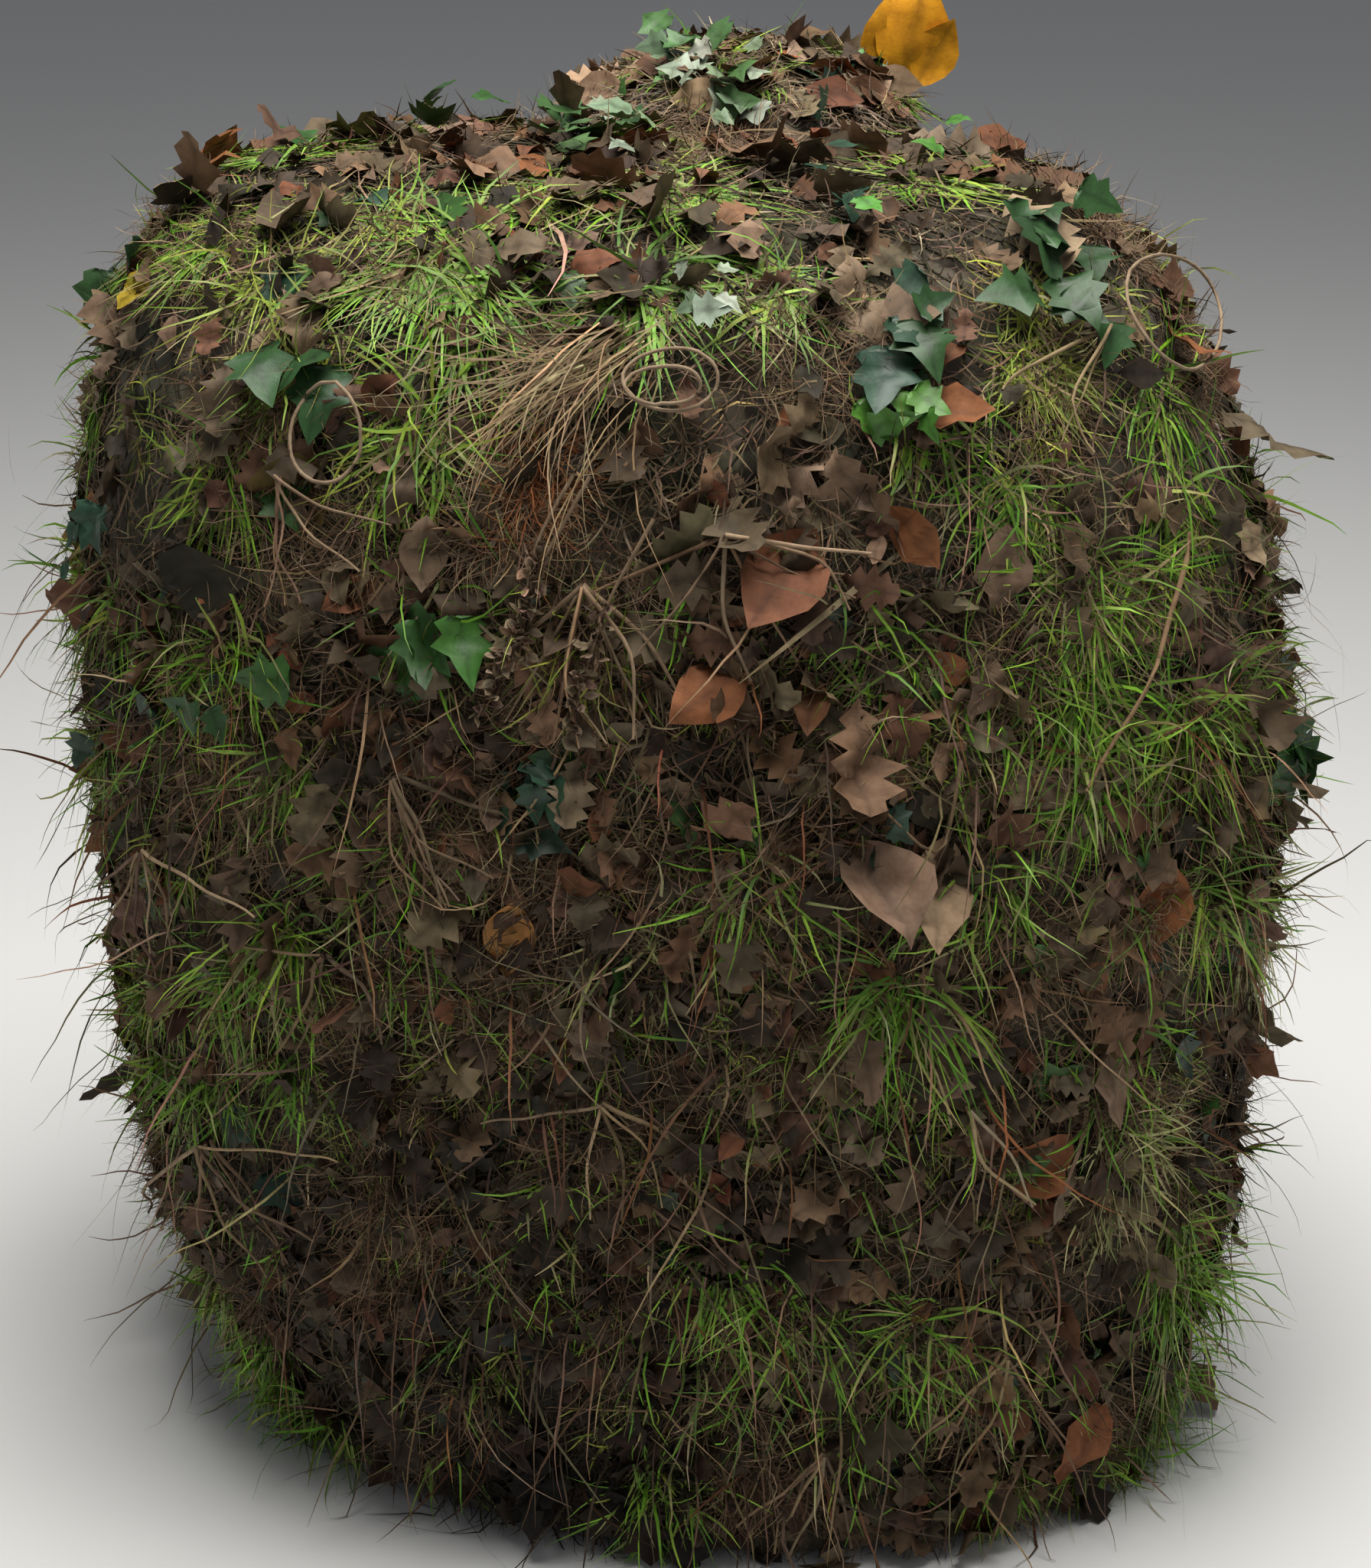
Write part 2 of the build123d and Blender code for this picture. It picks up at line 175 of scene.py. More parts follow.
# ------------------------------------------------------------------ materials
def new_material(name, roughness, sheen=0.0):
    """Material with its shader, and helpers' handles."""
    material = bpy.data.materials.new(name)
    material.use_nodes = True
    shader = material.node_tree.nodes["Principled BSDF"]
    shader.inputs["Roughness"].default_value = roughness
    shader.inputs["Specular IOR Level"].default_value = 0.28
    if sheen:
        shader.inputs["Sheen Weight"].default_value = sheen
        shader.inputs["Sheen Roughness"].default_value = 0.6
    return material, material.node_tree, shader


def node(tree, kind, **values):
    """Node with its settings, and inputs given by name with in_ in front."""
    made = tree.nodes.new(kind)
    for key, value in values.items():
        if key.startswith("in_"):
            made.inputs[key[3:].replace("_", " ")].default_value = value
        else:
            setattr(made, key, value)
    return made


def ramp(tree, source, stops, constant=False):
    """Colour ramp over a value."""
    made = tree.nodes.new("ShaderNodeValToRGB")
    made.color_ramp.interpolation = "CONSTANT" if constant else "LINEAR"
    while len(made.color_ramp.elements) < len(stops):
        made.color_ramp.elements.new(0.5)
    for element, (place, colour) in zip(made.color_ramp.elements, stops):
        element.position = place
        element.color = (*colour, 1)
    tree.links.new(source, made.inputs[0])
    return made.outputs[0]


def mix(tree, kind, factor, a, b):
    """Colour mix of two sockets."""
    made = node(tree, "ShaderNodeMix", data_type="RGBA", blend_type=kind)
    if isinstance(factor, float):
        made.inputs["Factor"].default_value = factor
    else:
        tree.links.new(factor, made.inputs["Factor"])
    for socket, index in ((a, 6), (b, 7)):
        if isinstance(socket, tuple):
            made.inputs[index].default_value = (*socket, 1)
        else:
            tree.links.new(socket, made.inputs[index])
    return made.outputs[2]


def object_noise(tree, scale, detail=4.0, rough=0.6):
    """Noise value over the object's own coordinates."""
    place = tree.nodes.new("ShaderNodeTexCoord").outputs["Object"]
    noise = node(tree, "ShaderNodeTexNoise", in_Scale=scale, in_Detail=detail, in_Roughness=rough)
    tree.links.new(place, noise.inputs["Vector"])
    return noise.outputs["Fac"]


def bump(tree, shader, height, strength, distance):
    """Bump from a height socket into the shader."""
    made = node(tree, "ShaderNodeBump", in_Strength=strength, in_Distance=distance)
    tree.links.new(height, made.inputs["Height"])
    tree.links.new(made.outputs[0], shader.inputs["Normal"])


def cloth_material(name, tint=(1, 1, 1)):
    """Temperate camouflage print on a matte twill, with a fine weave and grime."""
    material, tree, shader = new_material(name, 0.92, sheen=0.12)
    base = ramp(tree, object_noise(tree, 7, 3), [(0.0, (0.105, 0.088, 0.060)), (0.45, (0.150, 0.128, 0.098)),
                                                (0.52, (0.062, 0.062, 0.036)), (1.0, (0.075, 0.070, 0.045))])
    blotch = ramp(tree, object_noise(tree, 13, 4),
                  [(0.0, (0, 0, 0)), (0.55, (0, 0, 0)), (0.58, (1, 1, 1)), (1, (1, 1, 1))])
    print_mix = mix(tree, "MIX", blotch, base, (0.050, 0.038, 0.026))
    dirt = ramp(tree, object_noise(tree, 40, 6, 0.7), [(0.3, (0.55, 0.52, 0.48)), (0.7, (1.15, 1.1, 1.05))])
    colour = mix(tree, "MULTIPLY", 1.0, print_mix, dirt)
    tree.links.new(mix(tree, "MULTIPLY", 1.0, colour, tint), shader.inputs["Base Color"])
    weave = node(tree, "ShaderNodeTexWave", in_Scale=420.0, in_Distortion=0.6, bands_direction="DIAGONAL")
    tree.links.new(tree.nodes.new("ShaderNodeTexCoord").outputs["Object"], weave.inputs["Vector"])
    bump(tree, shader, weave.outputs["Fac"], 0.35, 0.0006)
    return material


def tinted_material(name, roughness, grain, specular=0.25):
    """Plant matter: the mesh's own tint, broken up by veins and blotches."""
    material, tree, shader = new_material(name, roughness)
    shader.inputs["Specular IOR Level"].default_value = specular
    tint = node(tree, "ShaderNodeAttribute", attribute_name="tint").outputs["Color"]
    spots = ramp(tree, object_noise(tree, grain, 5, 0.65),
                 [(0.25, (0.55, 0.5, 0.45)), (0.6, (1.05, 1.05, 1.0)), (1, (1.3, 1.25, 1.1))])
    tree.links.new(mix(tree, "MULTIPLY", 1.0, tint, spots), shader.inputs["Base Color"])
    bump(tree, shader, object_noise(tree, grain * 2.5, 3), 0.4, 0.0008)
    return material


CLOTH = cloth_material("camouflage_cloth")
TRIM = cloth_material("trim_cloth", (0.7, 0.75, 0.65))
TAPE = cloth_material("woven_tape", (0.55, 0.62, 0.5))
NET = tinted_material("net_cord", 0.9, 60)
GRASS = tinted_material("grass_blade", 0.55, 45, specular=0.35)
LEAF = tinted_material("dead_leaf", 0.72, 70)
IVY = tinted_material("ivy_leaf", 0.45, 60, specular=0.4)
FIBRE = tinted_material("root_fibre", 0.9, 80)
BRASS, brass_tree, brass_shader = new_material("dull_brass", 0.5)
brass_shader.inputs["Metallic"].default_value = 1.0
brass_colour = ramp(brass_tree, object_noise(brass_tree, 90),
                    [(0.3, (0.10, 0.075, 0.04)), (0.7, (0.28, 0.21, 0.10))])
brass_tree.links.new(brass_colour, brass_shader.inputs["Base Color"])


# ------------------------------------------------------------------ mesh helpers
def build(name, points, faces, material, body, tint=None, smooth=True):
    """Mesh object from arrays, with its material, on its body."""
    mesh = bpy.data.meshes.new(name)
    points, faces = np.asarray(points, np.float32).reshape(-1, 3), np.asarray(faces, np.int32)
    width = faces.shape[1]
    mesh.vertices.add(len(points))
    mesh.vertices.foreach_set("co", points.ravel())
    mesh.loops.add(faces.size)
    mesh.loops.foreach_set("vertex_index", faces.ravel())
    mesh.polygons.add(len(faces))
    mesh.polygons.foreach_set("loop_start", np.arange(0, faces.size, width, dtype=np.int32))
    mesh.polygons.foreach_set("use_smooth", np.full(len(faces), smooth))
    mesh.update(calc_edges=True)
    mesh.validate()
    if tint is not None:
        layer = mesh.color_attributes.new("tint", "FLOAT_COLOR", "POINT")
        rgba = np.ones((len(points), 4), np.float32)
        rgba[:, :3] = tint
        layer.data.foreach_set("color", rgba.ravel())
    mesh.materials.append(material)
    piece = bpy.data.objects.new(name, mesh)
    bpy.context.scene.collection.objects.link(piece)
    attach(piece, body)
    return piece


REACH = 0.024
CAD_LOW, CAD_HIGH = (np.array(corner) + side * 0.004 for corner, side in zip(CAD_BOX, (-1, 1)))


class Pile:
    """Points, faces and tints of many like plants, gathered for one mesh.

    Tips that pass the CAD's box are bent back to within REACH of it.
    """

    def __init__(self):
        self.points, self.faces, self.tints, self.count = [], [], [], 0

    def add(self, points, faces, tints):
        self.points.append(points.reshape(-1, 3))
        self.faces.append(faces + self.count)
        self.tints.append(tints.reshape(-1, 3))
        self.count += len(points.reshape(-1, 3))

    def build(self, name, material, body, slot, *nodes):
        if not self.count:
            return None
        points = np.concatenate(self.points)
        over, under = np.maximum(points - CAD_HIGH, 0), np.maximum(CAD_LOW - points, 0)
        points = points + REACH * (np.tanh(over / REACH) - np.tanh(under / REACH)) - over + under
        points[:, 2] = np.maximum(points[:, 2], 0.0015)
        piece = build(name, points, np.concatenate(self.faces), material, body,
                      np.concatenate(self.tints))
        if nodes:
            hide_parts(*nodes)
        return piece


def unit(v):
    """Vectors scaled to length one."""
    return v / np.maximum(np.linalg.norm(v, axis=-1, keepdims=True), 1e-9)


def tangents(normal):
    """Upward tangent and sideways tangent at each normal."""
    up = np.array((0, 0, 1.0)) - normal * normal[..., 2:3]
    weak = np.linalg.norm(up, axis=-1, keepdims=True) < 0.25
    up = unit(np.where(weak, np.array((0, 1.0, 0)) - normal * normal[..., 1:2], up))
    return up, np.cross(up, normal)


def strands(pile, root, aim, normal, length, width, colours, tip_colours, droop=0.5, curl=0.5, steps=5,
            keep_off=0.003):
    """Curved flat blades, all at once: each leaves its root along aim, droops and curls."""
    n = len(root)
    step = (length / steps)[:, None]
    heading, place = unit(aim), root.copy()
    sway = unit(np.cross(heading, normal) + rng.normal(size=(n, 3)) * 0.3)
    bend = rng.normal(size=(n, 1)) * curl
    rows, spine = [place], []
    for k in range(steps):
        spine.append(heading)
        heading = unit(heading + np.array((0, 0, -droop / steps)) + sway * bend / steps * 1.6
                       + rng.normal(size=(n, 3)) * 0.10 * curl)
        into = np.sum(heading * normal, 1, keepdims=True)
        risen = np.sum((place - root) * normal, 1, keepdims=True)
        heading = unit(heading - normal * np.where((into < 0) & (risen < keep_off), into, 0))
        place = place + heading * step
        rows.append(place)
    spine.append(heading)
    centre = np.stack(rows, 1)
    side = unit(np.cross(np.stack(spine, 1), normal[:, None] + rng.normal(size=(n, 1, 3)) * 0.35))
    taper = np.array([0.7, 1, 0.95, 0.75, 0.5, 0.12])
    taper = np.interp(np.linspace(0, 1, steps + 1), np.linspace(0, 1, 6), taper)
    half = side * (width[:, None, None] / 2) * taper[None, :, None]
    points = np.stack([centre - half, centre + half], 2)
    base = np.arange(n)[:, None] * (steps + 1) * 2 + np.arange(steps)[None] * 2
    faces = np.stack([base, base + 1, base + 3, base + 2], -1).reshape(-1, 4)
    blend = np.linspace(0, 1, steps + 1)[None, :, None, None]
    tints = colours[:, None, None] * (1 - blend) + tip_colours[:, None, None] * blend
    pile.add(points, faces, np.broadcast_to(tints, points.shape).copy())


OAK = ((0, 0), (0.10, 0.05), (0.20, 0.16), (0.27, 0.09), (0.37, 0.27), (0.46, 0.14), (0.57, 0.34), (0.67, 0.17),
       (0.77, 0.28), (0.86, 0.13), (0.94, 0.14), (1.0, 0))
BEECH = ((0, 0), (0.12, 0.13), (0.28, 0.24), (0.45, 0.29), (0.62, 0.26), (0.80, 0.15), (0.92, 0.06), (1.0, 0))
IVY_LEAF = ((0, 0), (-0.04, 0.20), (0.06, 0.42), (0.22, 0.30), (0.38, 0.48), (0.52, 0.24), (0.75, 0.15),
            (1.0, 0))
RIBS = 3


def leaves(pile, outline, root, aim, normal, length, colours, curl=0.6, broad=1.0):
    """Leaves of one outline, all at once, each bent across, along and crumpled at random."""
    n = len(root)
    profile = np.array(outline, float)
    along = profile[:, 0][:, None]
    shares = np.linspace(-1, 1, 2 * RIBS + 1)[None]
    across = profile[:, 1][:, None] * shares * broad
    u = np.broadcast_to(along, across.shape)[None] * length[:, None, None]
    v = across[None] * length[:, None, None]
    cup = rng.normal(size=(n, 1, 1)) * curl * 13 + curl * 7
    roll = rng.normal(size=(n, 1, 1)) * curl * 7 - curl * 2
    ruck = rng.uniform(0, 6.28, (n, 1, 1))
    lift = v * v * cup / (1 + abs(v) * 20) + u * u * roll * 0.6
    share = u / length[:, None, None]
    ruffle = np.sin(share * 13 + ruck + v * 110) * 0.05 + np.sin(share * 5 - ruck * 2 + v * 60) * 0.07
    lift = lift + ruffle * curl * length[:, None, None]
    forward = unit(aim - normal * np.sum(aim * normal, 1, keepdims=True) * 0.4)
    side = unit(np.cross(normal, forward))
    top = unit(np.cross(forward, side))
    points = root[:, None, None] + u[..., None] * forward[:, None, None] + v[..., None] * side[:, None, None]
    points = points + lift[..., None] * top[:, None, None]
    wide = 2 * RIBS + 1
    i, j = np.meshgrid(np.arange(len(profile) - 1), np.arange(wide - 1), indexing="ij")
    corner = i * wide + j
    quad = np.stack([corner, corner + wide, corner + wide + 1, corner + 1], -1).reshape(-1, 4)
    faces = (np.arange(n)[:, None, None] * across.size + quad[None]).reshape(-1, 4)
    vein = 1 - 0.30 * (np.abs(shares) < 0.1) + 0.12 * np.abs(shares)
    tints = colours[:, None, None] * vein[None, :, :, None]
    pile.add(points, faces, np.broadcast_to(tints, points.shape).copy())


def palette(names, n, spread=0.22):
    """Random colours near some of a palette's, in linear light."""
    table = np.array(names)
    pick = table[rng.integers(0, len(table), n)]
    shade = np.exp(rng.normal(size=(n, 1)) * spread)
    hue = np.exp(rng.normal(size=(n, 3)) * spread * 0.25)
    return np.clip(pick * shade * hue, 0, 1)


GREEN = [(0.115, 0.27, 0.015), (0.17, 0.37, 0.025), (0.070, 0.165, 0.016), (0.24, 0.38, 0.05)]
YELLOW_GREEN = [(0.26, 0.32, 0.040), (0.32, 0.35, 0.06), (0.17, 0.25, 0.034)]
PALE_GRASS = [(0.32, 0.34, 0.14), (0.24, 0.29, 0.09), (0.38, 0.35, 0.18)]
BROWN = [(0.062, 0.043, 0.026), (0.036, 0.026, 0.016), (0.100, 0.070, 0.043), (0.140, 0.104, 0.066)]
RUST = [(0.210, 0.078, 0.030), (0.160, 0.064, 0.030), (0.130, 0.066, 0.038), (0.185, 0.110, 0.066)]
TAN = [(0.290, 0.200, 0.130), (0.225, 0.152, 0.100), (0.165, 0.110, 0.072)]
STRAW = [(0.360, 0.270, 0.160), (0.270, 0.195, 0.112), (0.190, 0.130, 0.078)]
IVY_GREEN = [(0.022, 0.065, 0.018), (0.034, 0.105, 0.020), (0.022, 0.058, 0.034)]
PALE_IVY = [(0.16, 0.24, 0.14), (0.28, 0.34, 0.26), (0.07, 0.15, 0.05)]
AMBER = [(0.62, 0.27, 0.010)]


# ------------------------------------------------------------------ cloth, tape, net and hardware
FRONT_EDGE, LEFT_EDGE, BACK_LEFT, BACK_RIGHT = 48, 132, 232, 308
CENTRE = 90
PANELS = {
    # name: first bearing, last bearing, lowest and highest distance up the cloth, body
    "back_panel_upper": (BACK_LEFT, BACK_RIGHT, WAIST, SHOULDER, "cape"),
    "back_panel_lower": (BACK_LEFT, BACK_RIGHT, HEM_TOP, WAIST, "cape"),
    "side_panel_right": (BACK_RIGHT - 360, FRONT_EDGE, HEM_TOP, SHOULDER, "cape"),
    "side_panel_left": (LEFT_EDGE, BACK_LEFT, HEM_TOP, SHOULDER, "cape"),
    "front_panel_right": (FRONT_EDGE, CENTRE, HEM_TOP, SHOULDER, "cape"),
    "front_flap": (CENTRE + 0.4, LEFT_EDGE - 0.5, HEM_TOP, SHOULDER - 0.002, "flap"),
}
SLIT_HALF, SLIT_LOW, SLIT_HIGH = 2.9, 0.40, 0.60


def drape(turn, rise, amount):
    """How far the cloth stands in or out in folds, in metres."""
    turn = np.radians(turn)
    fall = np.sin(turn * 23 + 1.7 * np.sin(rise * 9)) * 0.5 + np.sin(turn * 41 + rise * 7) * 0.3
    sag = np.sin(rise * 55 + 2 * np.sin(turn * 7)) * 0.35
    return amount * (fall * np.clip(1.1 - rise, 0.3, 1) + sag)


def closed_sheet(name, base, normal, keep, thick, material, body):
    """Closed thin sheet over the kept cells of a grid of points."""
    wide = base.shape[1]
    n = base.shape[0] * wide
    i, j = np.nonzero(keep)
    corner = i * wide + j
    quads = np.stack([corner, corner + 1, corner + wide + 1, corner + wide], -1)
    points = np.concatenate([base.reshape(-1, 3), (base - normal * thick).reshape(-1, 3)])
    points[:, 2] = np.maximum(points[:, 2], 0.0005)
    starts, ends = quads.ravel(), np.roll(quads, -1, 1).ravel()
    rim = ~np.isin(starts * 2 * n + ends, ends * 2 * n + starts)
    a, b = starts[rim], ends[rim]
    faces = np.concatenate([quads, quads[:, ::-1] + n, np.stack([b, a, a + n, b + n], -1)])
    return build(name, points, faces, material, body)


def cloth_patch(name, turns, rises, body, out=0.0, folds=0.0022, hole=None, thick=0.0016):
    """Closed sheet of cloth over a patch of the cape."""
    t, r = np.meshgrid(turns, rises)
    here, normal = on_cape(t, r)
    base = here + normal * (out - 0.001 + drape(t, r, folds))[..., None]
    keep = np.ones((len(rises) - 1, len(turns) - 1), bool)
    if hole:
        keep = ~hole((base[:-1, :-1] + base[1:, 1:]) / 2)
    material = TRIM if "hem" in name or "placket" in name else CLOTH
    return closed_sheet(name, base, normal, keep, thick, material, body)


def patch_size(turns, rises):
    """Width and length of a patch of the cape, laid flat."""
    middle = np.full(len(turns), (rises[0] + rises[-1]) / 2)
    row, _ = on_cape(turns, middle)
    column, _ = on_cape(np.full(len(rises), (turns[0] + turns[-1]) / 2), rises)
    return tuple(float(np.linalg.norm(np.diff(line, axis=0), axis=1).sum()) for line in (row, column))


def in_slit(points):
    """Where a side panel has no cloth, at its arm slit."""
    bearing = np.degrees(np.arctan2(points[..., 1], points[..., 0])) % 360
    near = np.zeros(bearing.shape, bool)
    for middle in ARM_BEARINGS.values():
        near |= np.abs(bearing - middle) < SLIT_HALF
    return near & (points[..., 2] > SLIT_LOW) & (points[..., 2] < SLIT_HIGH)


for name, (first, last, low, high, body) in PANELS.items():
    turns = np.linspace(first, last, int((last - first) * 1.4))
    rises = np.linspace(low, high, max(12, int((high - low) / 0.008)))
    piece = cloth_patch(f"{name}_cloth", turns, rises, body, hole=in_slit if "side" in name else None)
    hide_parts(name)
    patch_size(turns, rises)
hem_turns = np.concatenate([np.linspace(LEFT_EDGE, 360, 300), np.linspace(361, 360 + CENTRE, 120)])
hem = cloth_patch("hem_casing_cloth", hem_turns, np.linspace(0.001, HEM_TOP + 0.004, 9), "cape", out=0.003,
                  thick=0.004)
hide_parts("hem_casing")
patch_size(hem_turns, (0.001, HEM_TOP + 0.004))
flap_turns = np.linspace(CENTRE + 0.4, LEFT_EDGE - 0.5, 60)
flap_hem = cloth_patch("flap_hem_cloth", flap_turns, np.linspace(0.003, HEM_TOP + 0.004, 9), "flap", out=0.003,
                       thick=0.004)
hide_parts("flap_hem_casing")
patch_size(flap_turns, (0.003, HEM_TOP + 0.004))
PLACKET_LOW, PLACKET_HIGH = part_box("front_placket")[0].z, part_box("front_placket")[1].z
placket = cloth_patch("front_placket_cloth", np.linspace(82.5, 97, 22),
                      np.linspace(PLACKET_LOW, PLACKET_HIGH, 80), "flap",
                      out=0.0066, folds=0.0004, thick=0.002)
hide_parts("front_placket")
patch_size(np.linspace(82.5, 97, 22), np.linspace(PLACKET_LOW, PLACKET_HIGH, 80))


COLLAR_LOW, COLLAR_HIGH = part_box("neck_collar")
NECK = ((COLLAR_LOW.x + COLLAR_HIGH.x) / 2, (COLLAR_LOW.y + COLLAR_HIGH.y) / 2)
NECK_HALF = ((COLLAR_HIGH.x - COLLAR_LOW.x) / 2, (COLLAR_HIGH.y - COLLAR_LOW.y) / 2)


def in_neck(points):
    """Where the yoke has no cloth, at the neck."""
    return ((points[..., 0] - NECK[0]) / NECK_HALF[0]) ** 2 + ((points[...,
                                                                       1] - NECK[1]) / NECK_HALF[1]) ** 2 < 1


yoke_turns = np.linspace(0, 360, 301)
yoke_rises = np.linspace(SHOULDER, SHOULDER + CROWN_SPAN, 56)
yoke = cloth_patch("shoulder_yoke_cloth", yoke_turns, yoke_rises, "cape", hole=in_neck)
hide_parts("shoulder_yoke")


def hood_patch(name, azimuths, rises, out, material, body="hood", hole=None, thick=0.0018, folds=0.0015):
    """Closed sheet over a patch of the hood, in azimuths and rises."""
    a, r = np.meshgrid(azimuths, rises)
    here, normal = on_hood(a, r)
    wave = folds * np.sin(np.radians(a) * 11 + 2 * np.sin(np.radians(r) * 5))
    base = here + normal * (out + wave)[..., None]
    keep = np.ones((len(rises) - 1, len(azimuths) - 1), bool)
    if hole:
        keep = ~hole((base[:-1, :-1] + base[1:, 1:]) / 2)
    return closed_sheet(name, base, normal, keep, thick, material, body)


FACE_Z, FACE_HALF = 0.888, (0.079, 0.057)


def off_hood(points):
    """Where the hood has no cloth: in the face opening and inside the cape."""
    x, y, z = points[..., 0], points[..., 1], points[..., 2]
    face = (((x - HEAD[0]) / FACE_HALF[0]) ** 2 + ((z - FACE_Z) / FACE_HALF[1]) ** 2 < 1) & (y > HEAD[1])
    inside = np.zeros(x.shape, bool)
    for index in np.ndindex(x.shape):
        point = Vector(points[index])
        away = point - HEART
        hit = outer_point(HEART, away.normalized())
        inside[index] = hit is not None and (hit - HEART).length > away.length - 0.004
    return face | inside


hood = hood_patch("hood_cloth", np.linspace(-180, 180, 121), np.linspace(-42, 89, 70), 0.0, CLOTH,
                  hole=off_hood)
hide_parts("hood_crown", "hood_side_left", "hood_side_right", "hood_chin")


def tube_path(pile, points, radius, colour, closed=False, sides=6):
    """Round cord through points."""
    points = np.asarray(points, float)
    n = len(points)
    ahead = np.roll(points, -1, 0) - np.roll(points, 1, 0) if closed else np.gradient(points, axis=0)
    ahead = unit(ahead)
    helper = np.where(np.abs(ahead[:, 2:3]) > 0.8, np.array((1.0, 0, 0)), np.array((0, 0, 1.0)))
    a = unit(np.cross(ahead, helper))
    b = np.cross(ahead, a)
    angles = np.linspace(0, 2 * np.pi, sides, endpoint=False)
    radii = np.broadcast_to(radius, (n,))[:, None, None]
    ring = points[:, None] + radii * (np.cos(angles)[None, :,
                                                     None] * a[:, None] + np.sin(angles)[None, :, None] * b[:, None])
    rows = np.arange(n if closed else n - 1)
    i, j = np.meshgrid(rows, np.arange(sides), indexing="ij")
    nxt = (i + 1) % n
    faces = np.stack([i * sides + j, i * sides + (j + 1) % sides, nxt * sides + (j + 1) % sides,
                      nxt * sides + j], -1)
    pile.add(ring, faces.reshape(-1, 4), np.broadcast_to(np.array(colour), ring.shape).copy())


brim = Pile()
rim_line = []
for k in range(72):
    a = 2 * math.pi * k / 72
    x, z = HEAD[0] + math.cos(a) * (FACE_HALF[0] + 0.001), FACE_Z + math.sin(a) * (FACE_HALF[1] + 0.001)
    share = 1 - ((x - HEAD[0]) / HOOD_RADII[0]) ** 2 - ((z - HEAD[2]) / HOOD_RADII[2]) ** 2
    rim_line.append((x, HEAD[1] + HOOD_RADII[1] * math.sqrt(max(share, 0)), z))
tube_path(brim, rim_line, 0.004, (0.06, 0.058, 0.036), closed=True, sides=10)
brim.build("hood_brim_roll", TRIM, "hood", "trim_cloth", "hood_brim")

for side, bearing in ARM_BEARINGS.items():
    low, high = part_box(side)
    across = 6.3
    cover = cloth_patch(f"{side}_cloth", np.linspace(bearing - across, bearing + across, 26),
                        np.linspace(low.z, high.z, 48), side,
                        out=0.0095, folds=0.0006, thick=0.002)
    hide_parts(side)
    patch_size(np.linspace(bearing - across, bearing + across, 26),
                                    np.linspace(low.z, high.z, 48))
collar = Pile()
collar_line = []
for k in range(80):
    a = 2 * math.pi * k / 80
    x, y = NECK[0] + math.cos(a) * 0.113, NECK[1] + math.sin(a) * 0.092
    hit, _, _, _ = CLOTH_TREE.ray_cast(Vector((x * 1.02 - 0.001, y, 1.3)), Vector((0, 0, -1)))
    collar_line.append((x, y, (hit.z if hit and hit.z > 0.78 else COLLAR_HIGH.z - 0.05) + 0.001))
tube_path(collar, collar_line, 0.0045, (0.055, 0.055, 0.035), closed=True, sides=10)
collar.build("neck_collar_roll", TRIM, "cape", "trim_cloth", "neck_collar")
for side in ("shoulder_pad_left", "shoulder_pad_right"):
    low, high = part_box(side)
    x, y = np.meshgrid(np.linspace(low.x + 0.006, high.x - 0.006, 22),
                       np.linspace(low.y + 0.006, high.y - 0.006, 30))
    points = np.zeros((2, *x.shape, 3))
    for index in np.ndindex(x.shape):
        hit, _, _, _ = CLOTH_TREE.ray_cast(Vector((x[index], y[index], 1.3)), Vector((0, 0, -1)))
        top = (hit.z if hit else high.z) - 0.0062
        edge = min(index[0], x.shape[0] - 1 - index[0], index[1], x.shape[1] - 1 - index[1])
        quilt = 0.5 + 0.5 * abs(math.sin(index[0] * 0.55)) * abs(math.sin(index[1] * 0.6))
        points[0][index] = (x[index], y[index], top)
        points[1][index] = (x[index], y[index], top - 0.001 - 0.0075 * min(1, edge / 2) * quilt)
    rows, cols = x.shape
    i, j = np.meshgrid(np.arange(rows - 1), np.arange(cols - 1), indexing="ij")
    corner = (i * cols + j).ravel()
    quads = np.stack([corner, corner + 1, corner + cols + 1, corner + cols], -1)
    faces = [quads, quads[:, ::-1] + rows * cols]
    border = [k for k in range(cols)] + [cols * k + cols - 1 for k in range(1, rows)]
    border += [cols * (rows - 1) + k for k in range(cols - 2, -1,
                                                    -1)] + [cols * k for k in range(rows - 2, 0, -1)]
    border = np.array(border)
    after = np.roll(border, -1)
    faces.append(np.stack([after, border, border + rows * cols, after + rows * cols], -1))
    pad = build(f"{side}_quilt", points.reshape(-1, 3), np.concatenate(faces), TAPE, "cape")
    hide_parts(side)

# woven tapes sewn down at intervals, so they stand off in loops that hold the plants
TAPE_ROWS = (0.151, 0.356, 0.561, 0.671)
TAPE_WIDE = 0.020


def tape(name, spans, rises, body, *nodes):
    """Rows of woven tape in loops along the cape."""
    pile = Pile()
    for rise in rises:
        for first, last in spans:
            turns = np.arange(first, last, 0.6)
            loop = 0.0022 + 0.003 * np.abs(np.sin(np.radians(turns) * 360 / 14))
            rows = []
            for edge in (-0.5, 0.5):
                here, normal = on_cape(turns, np.full(len(turns), rise + edge * TAPE_WIDE))
                rows.append(here + normal * loop[:, None])
                rows.append(here + normal * (loop - 0.0012)[:, None])
            ring = np.stack([rows[0], rows[2], rows[3], rows[1]], 1)
            n = len(turns)
            i, j = np.meshgrid(np.arange(n - 1), np.arange(4), indexing="ij")
            faces = np.stack([i * 4 + j, i * 4 + (j + 1) % 4, (i + 1) * 4 + (j + 1) % 4, (i + 1) * 4 + j], -1)
            pile.add(ring, faces.reshape(-1, 4), np.full(ring.shape, 0.1))
    return pile.build(name, TAPE, body, "webbing", *nodes)


